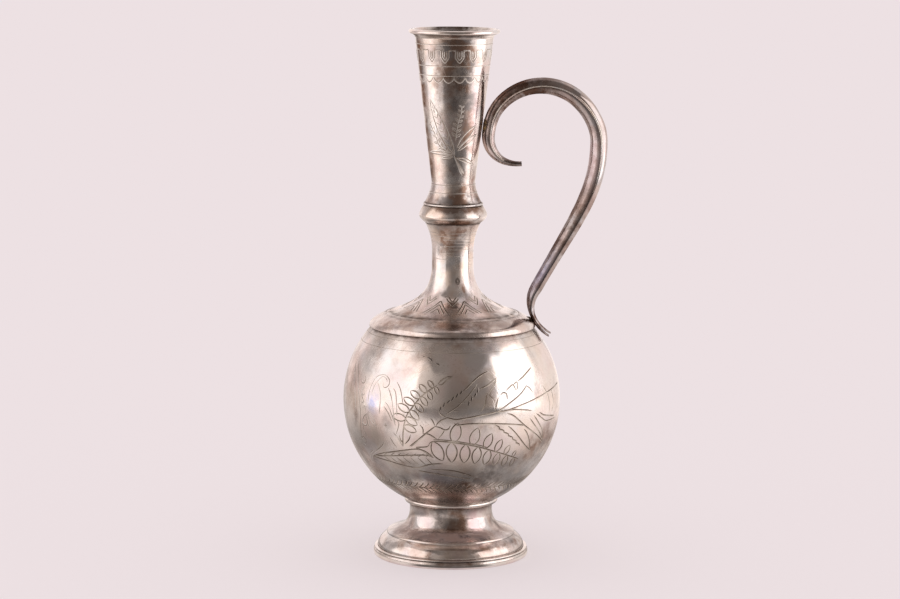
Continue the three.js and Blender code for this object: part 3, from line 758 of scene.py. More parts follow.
# Handle: two strips along one scroll, parted at the tail
handle = {"loopRadius": 26.0, "loopLevel": 29.0, "curlRadius": 12.2, "curlStart": 287, "curlJoin": 173,
          "bellyPull": 24.8, "shankPull": 40.0, "tailRadius": 13.7, "tailStart": 151.4, "tailEnd": 250,
          "tailSplit": 1.1, "padThickness": 0.4, "seatDrop": 0.16, "crown": 2.0, "roundness": 0.62,
          "steps": 260, "across": 22, "lean": 0.95, "leanRise": 1.4, "droop": 1.3, "tailBend": 0.07,
          "curlBend": 0.04, "curlDroop": 0.6,
          "thickness": {"curl": 2.3, "neck": 6.0, "belly": 8.2, "shank": 6.0, "tail": 2.5},
          "width": {"curl": 2.6, "neck": 5.6, "belly": 8.6, "shank": 6.8, "tail": 4.4},
          "seamShift": {"curl": -0.1, "neck": -0.9, "belly": 1.3, "shank": 0.9, "tail": 0.1}, "tailPad": 0.5,
          "fuller": [(0.32, 0.13, 0.8), (0.20, 0.08, 0.3)]}


def scrollLine(v):
    join = math.radians(v["curlJoin"])
    loopZ = beaker["low"] + v["loopLevel"]
    joinZ = loopZ + v["loopRadius"] * math.sin(join)
    joinX = radiusAt(beakerOuter, joinZ) + v["padThickness"] + v["thickness"]["neck"] / 2
    loop = (joinX - v["loopRadius"] * math.cos(join), loopZ)
    curl = (joinX - v["curlRadius"] * math.cos(join), joinZ - v["curlRadius"] * math.sin(join))
    seat = globe["radius"] + moulding["gap"]
    seatAngle = math.acos(moulding["lowRadius"] / seat) - v["seatDrop"] / seat
    reach = seat + moulding["lowEdge"] + v["tailPad"] + v["thickness"]["tail"] / 2 + v["tailRadius"]
    tail = (reach * math.cos(seatAngle), globe["level"] + reach * math.sin(seatAngle))
    turn = math.radians(v["tailStart"])
    shankFoot = (tail[0] + v["tailRadius"] * math.cos(turn), tail[1] + v["tailRadius"] * math.sin(turn))
    shankPull = (shankFoot[0] + v["shankPull"] * math.sin(turn),
                 shankFoot[1] - v["shankPull"] * math.cos(turn))
    belly = (loop[0] + v["loopRadius"], loop[1])
    runs = [arc(curl, v["curlRadius"], v["curlStart"], v["curlJoin"], 80),
            arc(loop, v["loopRadius"], v["curlJoin"], 0, 160),
            bezier([belly, (belly[0], belly[1] - v["bellyPull"]), shankPull, shankFoot], 200),
            arc(tail, v["tailRadius"], v["tailStart"], v["tailEnd"], 60)]
    line = np.array(runs[0] + [p for run in runs[1:] for p in run[1:]])
    lengths = np.r_[0, np.cumsum(np.linalg.norm(np.diff(line, axis=0), axis=1))]
    ends = lengths[np.cumsum([len(runs[0]) - 1] + [len(run) - 1 for run in runs[1:]])]
    full = lengths[-1]
    # the top of the loop leans back over the neck
    high = np.clip((line[:, 1] - loopZ) / v["loopRadius"] * v["leanRise"], 0, 1)
    line[:, 0] -= v["lean"] * high * high * (3 - 2 * high)
    # and both tips are bent down
    way = lengths / full
    tailBend = np.clip((way - (1 - v["tailBend"])) / v["tailBend"], 0, 1) ** 2
    curlBend = np.clip(1 - way / v["curlBend"], 0, 1) ** 2
    line[:, 1] -= v["droop"] * (tailBend + v["curlDroop"] * curlBend)
    marks = np.array([0, ends[0], ends[1] + v["bellyPull"] / 2, ends[2] - v["shankPull"] / 12,
                      ends[2] + v["tailRadius"], full]) / full
    shares = np.linspace(0, 1, v["steps"] + 1)
    spots = np.stack([np.interp(shares * full, lengths, line[:, k]) for k in (0, 1)], 1)
    tangents = np.gradient(spots, axis=0)
    tangents /= np.linalg.norm(tangents, axis=1)[:, None]
    return shares, spots, tangents, marks


def eased(marks, sizes, share):
    values = [sizes[key] for key in ("curl", "neck", "belly", "shank", "tail", "tail")]
    i = int(np.clip(np.searchsorted(marks, share), 1, 5))
    t = (share - marks[i - 1]) / (marks[i] - marks[i - 1])
    t = t * t * (3 - 2 * t)
    return values[i - 1] + (values[i] - values[i - 1]) * t


def hump(share, place, wide):
    return math.exp(-((share - place) / wide) ** 2)


def handlePoint(x, y, z):
    # a point of the handle, with x from the jug's axis, in millimetres
    return (axisX + x) * mm, y * mm, z * mm


shares, spots, tangents, marks = scrollLine(handle)
handleSeam = {"radius": 0.32, "from": 0.04, "to": 0.62, "sunk": 0.12, "swellFrom": 0.33}
# tarnish of each strip, with painted shade on the top of the loop and down the shank: a base, and strength,
# place and width where it darkens along the scroll
bothDark = [(0.5, 0.72, 0.11), (0.7, 1, 0.10), (0.7, 0, 0.04)]
stripTarnishAndShade = {1: (0.14, [(0.95, 0.23, 0.085)] + bothDark), -1: (0.30, [(0.80, 0.27, 0.10)] + bothDark)}
# the inner strip is rosy at the belly and steel blue low on the shank
stripTints = {"blush": (0.8, 0.56, 0.07), "cool": (0.7, 0.835, 0.06)}
# dirt lies along the seam, most of it as far as the top of the loop
stripGrime = {"all": 0.3, "loop": 0.55, "narrow": 24}


def stripMesh(name, side):
    # side +1 is the strip outside the scroll, -1 the one inside it
    v = handle
    vertices = []
    count = v["across"] + 1
    for share, spot, tangent in zip(shares, spots, tangents):
        normal = np.array([-tangent[1], tangent[0]]) * side
        half = eased(marks, v["width"], share) / 2
        back = eased(marks, v["thickness"], share) / 2
        back += sum(more / 2 * hump(share, place, wide) for place, wide, more in v["fuller"])
        shift = eased(marks, v["seamShift"], share) * side
        parted = max(share - marks[4], 0) / (1 - marks[4])
        seam = shift + solderGap / 2 + v["tailSplit"] / 2 * parted ** 2
        for k in range(count):
            across = -math.cos(math.pi * k / v["across"])
            up = seam + (back - seam) * (1 - abs(across) ** v["crown"]) ** v["roundness"]
            x, z = spot + normal * up
            vertices.append(handlePoint(x, across * half, z))
    rows = len(shares)
    faces = []
    for i in range(rows - 1):
        for k in range(count):
            a = i * count + k
            b = i * count + (k + 1) % count
            faces.append((a, b, b + count, a + count))
    faces.append(tuple(range(count)))
    faces.append(tuple((rows - 1) * count + k for k in range(count)))
    mesh = plainMesh(name, vertices, [], faces)
    dirtAndShade = [stripGrime["all"] + stripGrime["loop"] * (share < handleSeam["swellFrom"]) for share in shares]
    setLayer(mesh, "grime", [much * abs(math.cos(math.pi * k / v["across"])) ** stripGrime["narrow"]
                             for much in dirtAndShade for k in range(count)])
    base, dark = stripTarnishAndShade[side]
    tarnish = [sum((strength * hump(share, place, wide) for strength, place, wide in dark), base)
               for share in shares]
    setLayer(mesh, "tarnish", np.repeat(tarnish, count))
    for layer, (strength, place, wide) in stripTints.items():
        tint = [strength * (side < 0) * hump(share, place, wide) for share in shares]
        setLayer(mesh, layer, np.repeat(tint, count))
    tidyMesh(mesh, "strip")
    return mesh


handleMetal = agedSilver("handleSilver", clean=(0.58, 0.525, 0.515), tan=(0.42, 0.33, 0.29), seed=8.2,
                         patchSize=0.013, tanShare=0.6, brownShare=0.45, gloss=0.06, dull=0.14,
                         tarnish=(0.12, 0.066, 0.048), steel=(0.125, 0.085, 0.072),
                         glance=(0.18, 0.12, 0.10))
for pieceName, nodeName, side in (("handleOuter", "handle_outer_strip", 1),
                                  ("handleInner", "handle_inner_strip", -1)):
    strip = addPiece(pieceName, stripMesh(pieceName, side))
    strip.data.materials.append(handleMetal)
    settle(strip, "handle_silver", nodeName)
print("handle strips done")

# Solder joints: beads of run metal between the handle and the jug
solderGrain = 1.7
solderJoints = {
    "upperSolder": {"node": "handle_upper_solder", "middle": (14.9, 0, 204.4), "half": (1.3, 2.2, 4.4),
                    "tilt": 6, "lump": 0.22, "seed": 1.0, "metal": roughSolder("runSolder", yellowSolder)},
    "lowerSolder": {"node": "handle_lower_solder", "middle": (37.4, 0, 112.6), "half": (2.8, 1.6, 0.9),
                    "tilt": 38, "lump": 0.25, "seed": 5.0, "metal": roughSolder("brownSolder", brownSolder)},
}
for pieceName, v in solderJoints.items():
    lean = Matrix.Rotation(math.radians(v["tilt"]), 3, "Y")
    bead = bmesh.new()
    bmesh.ops.create_icosphere(bead, subdivisions=5, radius=1.0)
    for vertex in bead.verts:
        grain = noise.fractal(vertex.co * solderGrain + Vector((v["seed"], 0, 0)), 1.0, 2.0, 4)
        lump = 1 + v["lump"] * grain
        spot = lean @ Vector([size * way * lump for size, way in zip(v["half"], vertex.co)])
        vertex.co = (spot + Vector(v["middle"]) + Vector((axisX, 0, 0))) * mm
    mesh = bpy.data.meshes.new(pieceName)
    bead.to_mesh(mesh)
    bead.free()
    mesh.shade_smooth()
    mesh.materials.append(v["metal"])
    settle(addPiece(pieceName, mesh), "solder", v["node"])

# Seam of the handle: a fine rubbed line of solder where the strips meet, on both sides

def seamTree():
    tree, given = newTree("seamWire", Float=["Wire Radius"])
    path = addNode(tree, "GeometryNodeMeshToCurve", mesh=given["Geometry"])
    section = addNode(tree, "GeometryNodeCurvePrimitiveCircle", resolution=8, radius=given["Wire Radius"])
    along = addNode(tree, "GeometryNodeSplineParameter").outputs["Factor"]
    # thicker past the top of the loop, then run out to a point
    swell = product(tree, spread(tree, along, 0.50, 0.62, 1.0, 1.6),
                    spread(tree, along, 0.75, 1.0, 1.0, 0.2))
    wire = addNode(tree, "GeometryNodeCurveToMesh", curve=path.outputs["Curve"],
                   profile_curve=section.outputs["Curve"], scale=swell, fill_caps=True)
    return endTree(tree, given, wire.outputs["Mesh"])


def seamLines(v):
    vertices = []
    edges = []
    for way in (-1, 1):
        first = len(vertices)
        for share, spot, tangent in zip(shares, spots, tangents):
            if v["from"] <= share <= v["to"]:
                half = eased(marks, handle["width"], share) / 2 - v["sunk"]
                x, z = spot + np.array([-tangent[1], tangent[0]]) * eased(marks, handle["seamShift"], share)
                vertices.append(handlePoint(x, way * half, z))
        edges += [(i, i + 1) for i in range(first, len(vertices) - 1)]
    return plainMesh("handleSeams", vertices, edges)


seamMetal = agedSilver("seamSilver", clean=(0.80, 0.75, 0.69), gloss=0.2, dull=0.4, seed=9.9,
                       patchSize=0.008, brownShare=0.5, tanShare=0.6, speckShare=0.0, scratchDepth=0.000003)
seams = addPiece("handleSeams", seamLines(handleSeam))
bakeTree(seams, seamTree(), {"Wire Radius": handleSeam["radius"] * mm, "Material": seamMetal})
tidyMesh(seams.data, "line")
settle(seams, "handle_silver")
print("solder and seam done")

# Engraving: strokes drawn flat and laid on a piece, each a dark cut there with a bright burr on one side

cutShape = {"tip": 0.45, "body": 0.3, "crest": 0.7, "sunk": 0.12}


def engraverTree():
    tree, given = newTree("engraver", Object=["Carrier"], Int=["Repeats"],
                          Float=["Axis X", "Step", "Cut Width", "Burr", "Taper"])
    strokes = addNode(tree, "GeometryNodeMeshToCurve", mesh=given["Geometry"])
    # the same strokes again, turned round the axis
    seats = addNode(tree, "GeometryNodeMeshLine", count=given["Repeats"], offset=(0, 0, 0),
                    start_location=vector(tree, x=given["Axis X"]))
    order = addNode(tree, "GeometryNodeInputIndex").outputs[0]
    share = mathNode(tree, "DIVIDE", order, given["Repeats"])
    turn = vector(tree, z=product(tree, share, 2 * math.pi))
    turned = addNode(tree, "FunctionNodeEulerToRotation", euler=turn)
    placed = addNode(tree, "GeometryNodeInstanceOnPoints", points=seats.outputs["Mesh"],
                     instance=strokes.outputs["Curve"], rotation=turned.outputs["Rotation"])
    real = addNode(tree, "GeometryNodeRealizeInstances", geometry=placed.outputs["Instances"])
    fine = addNode(tree, "GeometryNodeResampleCurve", {"mode": "LENGTH"}, curve=real.outputs["Geometry"],
                   length=given["Step"])
    # down onto the carrier's surface
    carrier = addNode(tree, "GeometryNodeObjectInfo", object=given["Carrier"])
    spot = addNode(tree, "GeometryNodeInputPosition").outputs[0]
    nearest = addNode(tree, "GeometryNodeProximity")
    tree.links.new(carrier.outputs["Geometry"], nearest.inputs[0])
    facing = addNode(tree, "GeometryNodeSampleNearestSurface", {"data_type": "FLOAT_VECTOR"},
                     mesh=carrier.outputs["Geometry"], sample_position=spot)
    tree.links.new(addNode(tree, "GeometryNodeInputNormal").outputs[0], facing.inputs["Value"])
    laid = addNode(tree, "GeometryNodeSetPosition", geometry=fine.outputs["Curve"],
                   position=nearest.outputs["Position"])
    upright = addNode(tree, "GeometryNodeSetCurveNormal", {"mode": "FREE"}, curve=laid.outputs["Geometry"],
                      normal=facing.outputs["Value"])
    # the cut thins out at both ends
    along = addNode(tree, "GeometryNodeSplineParameter").outputs["Length"]
    whole = addNode(tree, "GeometryNodeSplineLength").outputs["Length"]
    toEnd = mathNode(tree, "MINIMUM", along, less(tree, whole, along))
    thin = spread(tree, toEnd, 0.0, given["Taper"], cutShape["tip"])
    # section: five points across, the fourth of them the burr's crest
    start = vector(tree, y=product(tree, given["Cut Width"], -0.5))
    across = vector(tree, y=mathNode(tree, "DIVIDE", given["Cut Width"], 4.0))
    section = addNode(tree, "GeometryNodeMeshLine", count=5, start_location=start, offset=across)
    ridge = mathNode(tree, "GREATER_THAN", order, 2.5)
    inset = mathNode(tree, "MINIMUM", order, less(tree, 4.0, order))
    body = product(tree, mathNode(tree, "MINIMUM", inset, 1.0), cutShape["body"])
    fromCrest = mathNode(tree, "ABSOLUTE", less(tree, order, 3.0))
    crest = mathNode(tree, "MAXIMUM", less(tree, 1.0, fromCrest), 0.0)
    rise = product(tree, mathNode(tree, "MULTIPLY_ADD", crest, cutShape["crest"], body), given["Burr"])
    sunk = less(tree, rise, product(tree, given["Burr"], cutShape["sunk"]))
    shaped = addNode(tree, "GeometryNodeSetPosition", geometry=section.outputs["Mesh"],
                     offset=vector(tree, x=sunk))
    marked = addNode(tree, "GeometryNodeStoreNamedAttribute", {"data_type": "FLOAT", "domain": "POINT"},
                     geometry=shaped.outputs["Geometry"], name="ridge", value=ridge)
    outline = addNode(tree, "GeometryNodeMeshToCurve", mesh=marked.outputs["Geometry"])
    closedOutline = addNode(tree, "GeometryNodeSetSplineCyclic", geometry=outline.outputs["Curve"],
                            cyclic=True)
    cut = addNode(tree, "GeometryNodeCurveToMesh", curve=upright.outputs["Curve"],
                  profile_curve=closedOutline.outputs["Geometry"], scale=thin, fill_caps=True)
    return endTree(tree, given, cut.outputs["Mesh"])


engraver = engraverTree()
engraverStep = 0.7
cutMetal = cutSilver("cutSilver", (0.74, 0.66, 0.58), (0.12, 0.083, 0.062), 0.30)
cutDark = cutSilver("cutDark", (0.50, 0.44, 0.40), (0.05, 0.036, 0.028), 0.30)
cutBright = cutSilver("cutBright", (0.86, 0.80, 0.75), (0.27, 0.215, 0.18), 0.28)


def engrave(name, carrier, lay, strokes, width, repeats=1, burr=0.075, taper=2.0, closed=False,
            metal=cutMetal):
    # lay takes the two numbers of a flat point and gives its place round the axis, in millimetres
    vertices = []
    edges = []
    for stroke in strokes:
        first = len(vertices)
        vertices += [tuple(part * mm for part in lay(*point)) for point in stroke]
        edges += [(first + i, first + i + 1) for i in range(len(stroke) - 1)]
        if closed:
            edges.append((len(vertices) - 1, first))
    piece = addPiece(name, plainMesh(name, vertices, edges))
    bakeTree(piece, engraver, {"Carrier": carrier, "Repeats": repeats, "Axis X": float(axisX) * mm,
                               "Step": engraverStep * mm, "Cut Width": width * mm, "Burr": burr * mm,
                               "Taper": taper * mm, "Material": metal})
    tidyMesh(piece.data, "line")
    print("engraved", name, len(piece.data.polygons), "faces")
    settle(piece, "aged_silver")


def roundAxis(radius, azimuth, level):
    # azimuth in degrees from the front, growing towards the handle
    angle = math.radians(azimuth)
    return radius * math.sin(angle), -radius * math.cos(angle), level


layOff = 0.5
sprayBase = beaker["low"] - 0.8


def onGlobe(azimuth, latitude):
    # degrees; a little off the sheet, so that its outside is the nearer one
    radius = globe["radius"] + layOff
    tilt = math.radians(latitude)
    up = radius * math.sin(tilt) * (globe["deeper"] if tilt < 0 else 1.0)
    return roundAxis(radius * math.cos(tilt), azimuth, globe["level"] + up)


def onGlobeLevel(azimuth, level):
    tilt = math.asin((level - globe["level"]) / globe["radius"])
    return roundAxis(globe["radius"] * math.cos(tilt), azimuth, level)


def onShoulder(azimuth, level):
    return roundAxis(radiusAt(shoulderOuter, level), azimuth, level)


def onBeaker(azimuth, level):
    return roundAxis(radiusAt(beakerOuter, level), azimuth, level)


def onBeakerFlat(across, up):
    # millimetres round from the front, and up from just under the beaker
    level = sprayBase + up
    radius = radiusAt(beakerOuter, level)
    return roundAxis(radius, math.degrees(across / radius), level)


def rings(levels, steps=120):
    return [[(360 * i / steps, level) for i in range(steps)] for level in levels]


# Plants, drawn flat

def leaf(base, tip, fullness, lean=0.0, roundness=0.0):
    # two bowed edges from the base to the tip
    b, t = np.array(base, float), np.array(tip, float)
    side = np.array([b[1] - t[1], t[0] - b[0]])
    edges = []
    for way in (1, -1):
        first = b + (t - b) * 0.25 * (1 - roundness) + side * fullness * (way + lean)
        second = b + (t - b) * (0.72 + 0.25 * roundness) + side * fullness * (0.9 * way + lean)
        edges.append(bezier([b, first, second, t], 12))
    return edges


def alongLine(points, share):
    # spot and heading at a share of a line's length
    line = np.array(points)
    lengths = np.r_[0, np.cumsum(np.linalg.norm(np.diff(line, axis=0), axis=1))]
    at = share * lengths[-1]
    before, spot, after = [np.array([np.interp(at + step, lengths, line[:, k]) for k in (0, 1)])
                           for step in (-0.4, 0.0, 0.4)]
    return spot, (after - before) / np.linalg.norm(after - before)


def toothed(points, teeth, depth):
    # a bowed edge with saw teeth to the left of the way it runs
    line = smoothThrough(points, 12)
    edge = []
    for i in range(teeth):
        for shift, out in ((0.0, 0.0), (0.8, depth)):
            spot, run = alongLine(line, (i + shift) / teeth)
            edge.append(tuple(spot + out * np.array([-run[1], run[0]])))
    return edge + [line[-1]]


def frond(stem, sides, fullness, roundness=0.0, crowd=1.0):
    # leaflets along a stem; a side has its count, first and last place, angle, first and last length
    line = smoothThrough(stem, 12)
    strokes = [line]
    for count, first, last, angle, long, short in sides:
        for i in range(count):
            share = (i / (count - 1)) ** crowd
            base, run = alongLine(line, first + (last - first) * share)
            heading = math.atan2(run[1], run[0]) + math.radians(angle)
            length = long + (short - long) * share ** 1.6
            tip = base + length * np.array([math.cos(heading), math.sin(heading)])
            strokes += leaf(base, tip, fullness, 0.0, roundness)
    return strokes


def coil(centre, start, end, fromAngle, turns, steps=40):
    points = []
    for i in range(steps + 1):
        share = i / steps
        radius = start + (end - start) * share
        angle = math.radians(fromAngle + 360 * turns * share)
        points.append((centre[0] + radius * math.cos(angle), centre[1] + radius * math.sin(angle)))
    return points


def curves(*strokes):
    return [smoothThrough(stroke, 8) for stroke in strokes]


# Globe bouquet, in degrees round from the front and up from the globe's middle

ovalFern = {"stem": [(-27, -17), (-26, -9), (-24, -1), (-20, 5), (-15, 11), (-8, 16)],
            "sides": [(6, 0.38, 0.95, 100, 7.6, 4.8), (7, 0.28, 0.97, -97, 7.2, 4.2)],
            "fullness": 0.34, "roundness": 0.45}
pointedFern = {"stem": [(-12, -14.5), (-9, -13), (1, -13.5), (14, -16), (28, -20.5), (42, -25.5)],
               "sides": [(6, 0.24, 0.90, 84, 10.8, 4.0), (8, 0.04, 0.93, -82, 12.0, 5.5)],
               "fullness": 0.36, "crowd": 0.82}


def ferns():
    strokes = frond(**ovalFern) + frond(**pointedFern)
    strokes += curves([(-9.5, -12), (0, -12.5), (14, -15), (20, -17)],
                      [(-7, 16.3), (-5, 16.7), (-3, 18.6), (0.3, 20.8)],
                      [(-7.4, 16.6), (-5.8, 18.6), (-3, 20.3), (0.3, 20.8)],
                      [(-28.5, -11), (-28, -13.5), (-26.3, -15.5)],
                      [(-22, -10), (-23, -12.6), (-25.7, -15.5)],
                      [(-16.5, -4.6), (-15, -6.5), (-15, -9.3)])
    return strokes


def sprig():
    # small lobed leaf on its own stalk, between the ferns
    return curves([(-23, -16.5), (-19, -13.6), (-14.5, -9.8), (-8.5, -5)],
                  [(-22, -16.5), (-18, -13), (-13.5, -9)],
                  [(-10.8, -1), (-9.6, -2.5), (-8.7, -4.6)],
                  [(-8, -4.6), (-7, -3.2), (-5, -1.6), (-2.5, -0.7)],
                  [(-8.5, -5), (-6, -5.6), (-3.6, -6.7), (-1.5, -6.2), (-0.6, -4.4)],
                  [(-3.6, -6.7), (-4.7, -8.5), (-7, -11.4)], [(-14.7, -9), (-11.5, -9.4), (-7.4, -12)])


def toothedLeaves():
    strokes = curves([(6, 13.2), (8.5, 15.4), (11.4, 18), (15.5, 21), (20, 23)],
                     [(15, 14.2), (19.6, 16), (24.8, 19.4)], [(-6.4, 2.6), (-5.5, 1.2), (-3, -0.2)],
                     [(24.8, 19.4), (23.8, 17), (20.5, 12), (20.3, 10.3), (22.5, 8.2)],
                     [(19, 12), (18, 9.7), (17.4, 6), (15.5, 2.8)], [(25, 9.2), (24.1, 7), (23, 2.5)],
                     [(26.4, 10.2), (27.4, 11.3), (29, 11.4), (30, 10.4), (30.3, 8)],
                     [(29.8, 12.4), (32.6, 14.2), (34.6, 15), (36, 12)],
                     [(34.8, 15), (37.2, 16.3), (37.6, 14.4), (36.4, 12)],
                     [(38, 16.6), (42, 18.3), (46, 20.4), (50.5, 22.6)],
                     [(24, 1.8), (30.6, 5.4), (39, 10), (44, 14)],
                     [(43.5, 13.4), (45.5, 12.4), (47.6, 9.8)])
    return strokes + [toothed([(22.7, -4.6), (26, -7.4), (30.5, -10.4), (40, -17.6)], 6, 0.7)]


def toothedEdges():
    # cut deeper than the rest, in short bites
    strokes = []
    for bites, line in ((6, [(-6.5, 2.5), (-3, 6.5), (2, 9.8), (6, 13.2)]),
                        (4, [(8.3, 5.5), (10.2, 8.2), (13, 11.6), (15, 14.2)])):
        curve = smoothThrough(line, 12)
        for i in range(bites):
            start, run = alongLine(curve, (i + 0.15) / bites)
            end, run = alongLine(curve, (i + 0.95) / bites)
            side = np.array([-run[1], run[0]]) * (0.9 + 0.35 * math.sin(2.3 * i))
            strokes.append([tuple(start), tuple((start + end) / 2 + side * 0.3), tuple(end + side)])
    return strokes


def blades():
    # the long stalk and the grass that springs from it to the right
    return curves([(-3, -0.2), (2, -1.3), (8, -0.6), (17, 0.9), (24, 2)],
                  [(1.5, -3.2), (3, -4.2), (10, -3.6), (20, -3.9), (33, -5.2), (42, -6.8)],
                  [(24, 1.8), (30, 2.3), (41, 4.6), (55, 7.2), (65, 8.6), (80, 10.4)],
                  [(29.7, 2.2), (34.4, 2.3), (40, 1.6), (46, 0.4)],
                  [(30, 0.6), (34, -1), (42, -7), (53, -13.6), (60, -18)],
                  [(30.8, -5.9), (35, -9.4), (44, -17.6), (50, -21.6)],
                  [(41.5, -8.6), (45, -12.6), (50, -21.6)],
                  [(45, -3.4), (49, -7.3), (53.7, -11.4), (59.5, -16.8)],
                  [(48, -2.4), (53, -7.3), (57, -11.6), (59.5, -16.8)],
                  [(50, -1.6), (55.3, -4.7), (60.3, -6.8), (72, -6.8)],
                  [(52.7, -1.3), (57.6, -3.5), (70, -5.6)],
                  [(57, 12), (62, 5), (63, -2)], [(66, 9), (67.5, 3), (66, -3)])


def curledFrond():
    # young frond rolled up at its top, and the blades beside it
    return curves([(-49, 4), (-48.6, 10), (-46, 16.5), (-42.6, 18.8), (-39, 19), (-36, 17), (-35.8, 14.4),
                   (-38, 12.8), (-39.4, 13.8), (-39, 15.2)],
                  [(-46.6, 8), (-45.6, 12.6), (-42.4, 17), (-40.4, 18.2), (-37.8, 17), (-37.2, 15.7)],
                  [(-44, 15), (-41.6, 11.6), (-40.3, 7), (-40.6, -1)],
                  [(-35.7, 12.8), (-33.4, 8.6), (-32, 3), (-30.6, -6)],
                  [(-32.6, 13), (-30.5, 9.5), (-29.4, -1)],
                  [(-31, 16.5), (-28, 12.3), (-26, 5)], [(-37, 5.5), (-34, 2.2), (-30.4, -6)],
                  [(-37.7, 3), (-35, 0.3), (-32.6, -4)], [(-29.5, -3.2), (-28.4, -5.2), (-30.4, -10.6)],
                  [(-34.4, -12.8), (-33, -15.6), (-31, -18)], [(-32, -10), (-29.5, -12.6), (-27.4, -16.8)])


def broadLeaf():
    # lies under the ferns, with its stalk
    return curves([(-52, -26), (-42, -22.6), (-34, -20.8), (-26, -19), (-18.6, -17.8), (-14, -19),
                   (-10, -22.4)],
                  [(-50, -25.4), (-32, -22.8), (-15, -21), (-10, -22.4)],
                  [(-52, -26), (-39, -27), (-27, -28.8), (-20, -29), (-12, -26.4), (-5, -25.8)],
                  [(-19.4, -16.8), (-13.5, -16.2), (-11.8, -14.7)],
                  [(-19.4, -17), (-15, -18.8), (-12.4, -21)],
                  [(-20, -31), (-8, -32.6), (12, -36)], [(-12, -29.6), (2, -30.4), (14, -34.5)])


def sideScrolls():
    # panel edge and scrolls left of the bouquet
    strokes = curves([(-68, 24), (-63.5, 18), (-60, 11), (-56.5, 2), (-56, -6), (-58.5, -16)],
                     [(-71, 22), (-66, 15), (-62, 6), (-60, -5)],
                     [(-56, -30), (-52.5, -25.4), (-44.5, -20.5), (-40.4, -17.6), (-39.2, -15.6)],
                     [(-57, -28.6), (-53.4, -24.4), (-49, -21.6)],
                     [(-53, 12), (-55.5, 8), (-53, 3.5), (-51, -1)],
                     [(-50, -2), (-53.5, -5), (-54.5, -11), (-52, -15)])
    for centre, size, start, turns in (((-56, 14.5), 2.4, 60, -0.8), ((-53.4, 8.5), 2.6, 90, 0.9),
                                       ((-54, 2), 2.0, -80, 0.8), ((-52.8, -6.5), 3.2, 70, -1.1),
                                       ((-55.8, -17.5), 3.2, -60, -1.2)):
        strokes.append(coil(centre, size, 0.7, start, turns))
    return strokes + leaf((-49.4, -1), (-43.2, -8), 0.16) + leaf((-50.4, -2), (-48.4, -10.5), 0.16)


hatching = {"count": 7, "start": -42, "pitch": 4.6, "rise": 0.07, "fall": 0.02}


def veins():
    # ribs of the toothed leaves, small touches, and hatching across the broad leaf
    v = hatching
    strokes = curves([(3, 7.3), (6.7, 7.4)], [(0, 3.1), (3.4, 3)],
                     [(-3, 1.4), (2.5, 5), (7.5, 9.7), (13.5, 16.5)],
                     [(-37.6, -6.6), (-35.6, -6.8)], [(-36.8, -5.6), (-36.5, -7.8)],
                     [(-13.6, -2.8), (-13, -3.4)])
    for i in range(v["count"]):
        x = v["start"] + v["pitch"] * i
        rise = v["rise"] * (x - v["start"])
        fall = v["fall"] * (x - v["start"])
        strokes.append([(x, -24.0 + rise), (x + 4, -21.6 + rise)])
        strokes.append([(x, -24.4 + rise), (x + 4.4, -26.8 - fall)])
    return strokes


bouquet = ferns() + sprig() + toothedLeaves() + blades() + broadLeaf()
nicks = [[(-14.6, 30.6), (-13.2, 30.0), (-11.6, 28.6)], [(-9.4, 27.6), (-7.2, 26.6)],
         [(-16.5, 31), (-17.5, 31.2)]]
engrave("globeBouquet", globePiece, onGlobe, bouquet, 0.86, repeats=2)
engrave("globeTeeth", globePiece, onGlobe, toothedEdges(), 1.0, repeats=2, burr=0.1, taper=1.2,
        metal=cutDark)
engrave("globeVeins", globePiece, onGlobe, veins(), 0.55, repeats=2, burr=0.05)
engrave("globeScrolls", globePiece, onGlobe, curledFrond() + sideScrolls(), 0.72, repeats=2, metal=cutBright)
engrave("globeNicks", globePiece, onGlobe, nicks, 1.1, burr=0.06, taper=1.0, metal=cutDark)
engrave("globeRings", globePiece, onGlobeLevel, rings((107.6, 103.6)), 0.6, burr=0.06, taper=0.0,
        closed=True)

# Feathered garland low on the globe: one motif, repeated all round
garland = {"repeats": 30, "latitude": -44.0, "height": 4.2, "barbs": 3}


def garlandMotif(v):
    pitch = 360 / v["repeats"]
    line = v["latitude"]
    strokes = [[(0, line), (pitch, line)]]
    for part in range(v["barbs"]):
        root = part * pitch / v["barbs"]
        for way in (1, -1):
            strokes.append(bezier([(root, line), (root + pitch * 0.28, line + way * v["height"] * 0.35),
                                   (root + pitch * 0.40, line + way * v["height"])], 5))
    return strokes


engrave("globeGarland", globePiece, onGlobe, garlandMotif(garland), 0.75, repeats=garland["repeats"],
        taper=1.0)

# Shoulder: nested chevrons with pointed drops between them, then turning marks and a blank oval dent above
chevrons = {"repeats": 9,
            "lines": [(20, 123.8, 118.9, 15), (20, 122.3, 118.9, 10.5), (20, 120.6, 118.9, 5.5),
                      (0, 121.8, 124.8, 11), (0, 123.2, 125.6, 8)]}
turning = {"lines": 9, "low": 142.6, "pitch": 1.55, "start": -60, "shift": 40, "within": 70, "length": 50,
           "longer": 7, "step": 4}
dent = {"azimuth": 13, "level": 132.4, "halfAngle": 5.0, "halfHeight": 1.5, "sizes": (1.0, 0.75, 0.5, 0.25)}


def chevronStrokes(v):
    # a line has its azimuth, the level of its point, the level of its ends and half its spread in degrees
    return [[(middle + half * share, point + (end - point) * abs(share)) for share in np.linspace(-1, 1, 17)]
            for middle, point, end, half in v["lines"]]


def turningStrokes(v):
    return [[(v["shift"] * i % v["within"] + v["start"] + step, v["low"] + v["pitch"] * i)
             for step in range(0, v["length"] + v["longer"] * i, v["step"])] for i in range(v["lines"])]


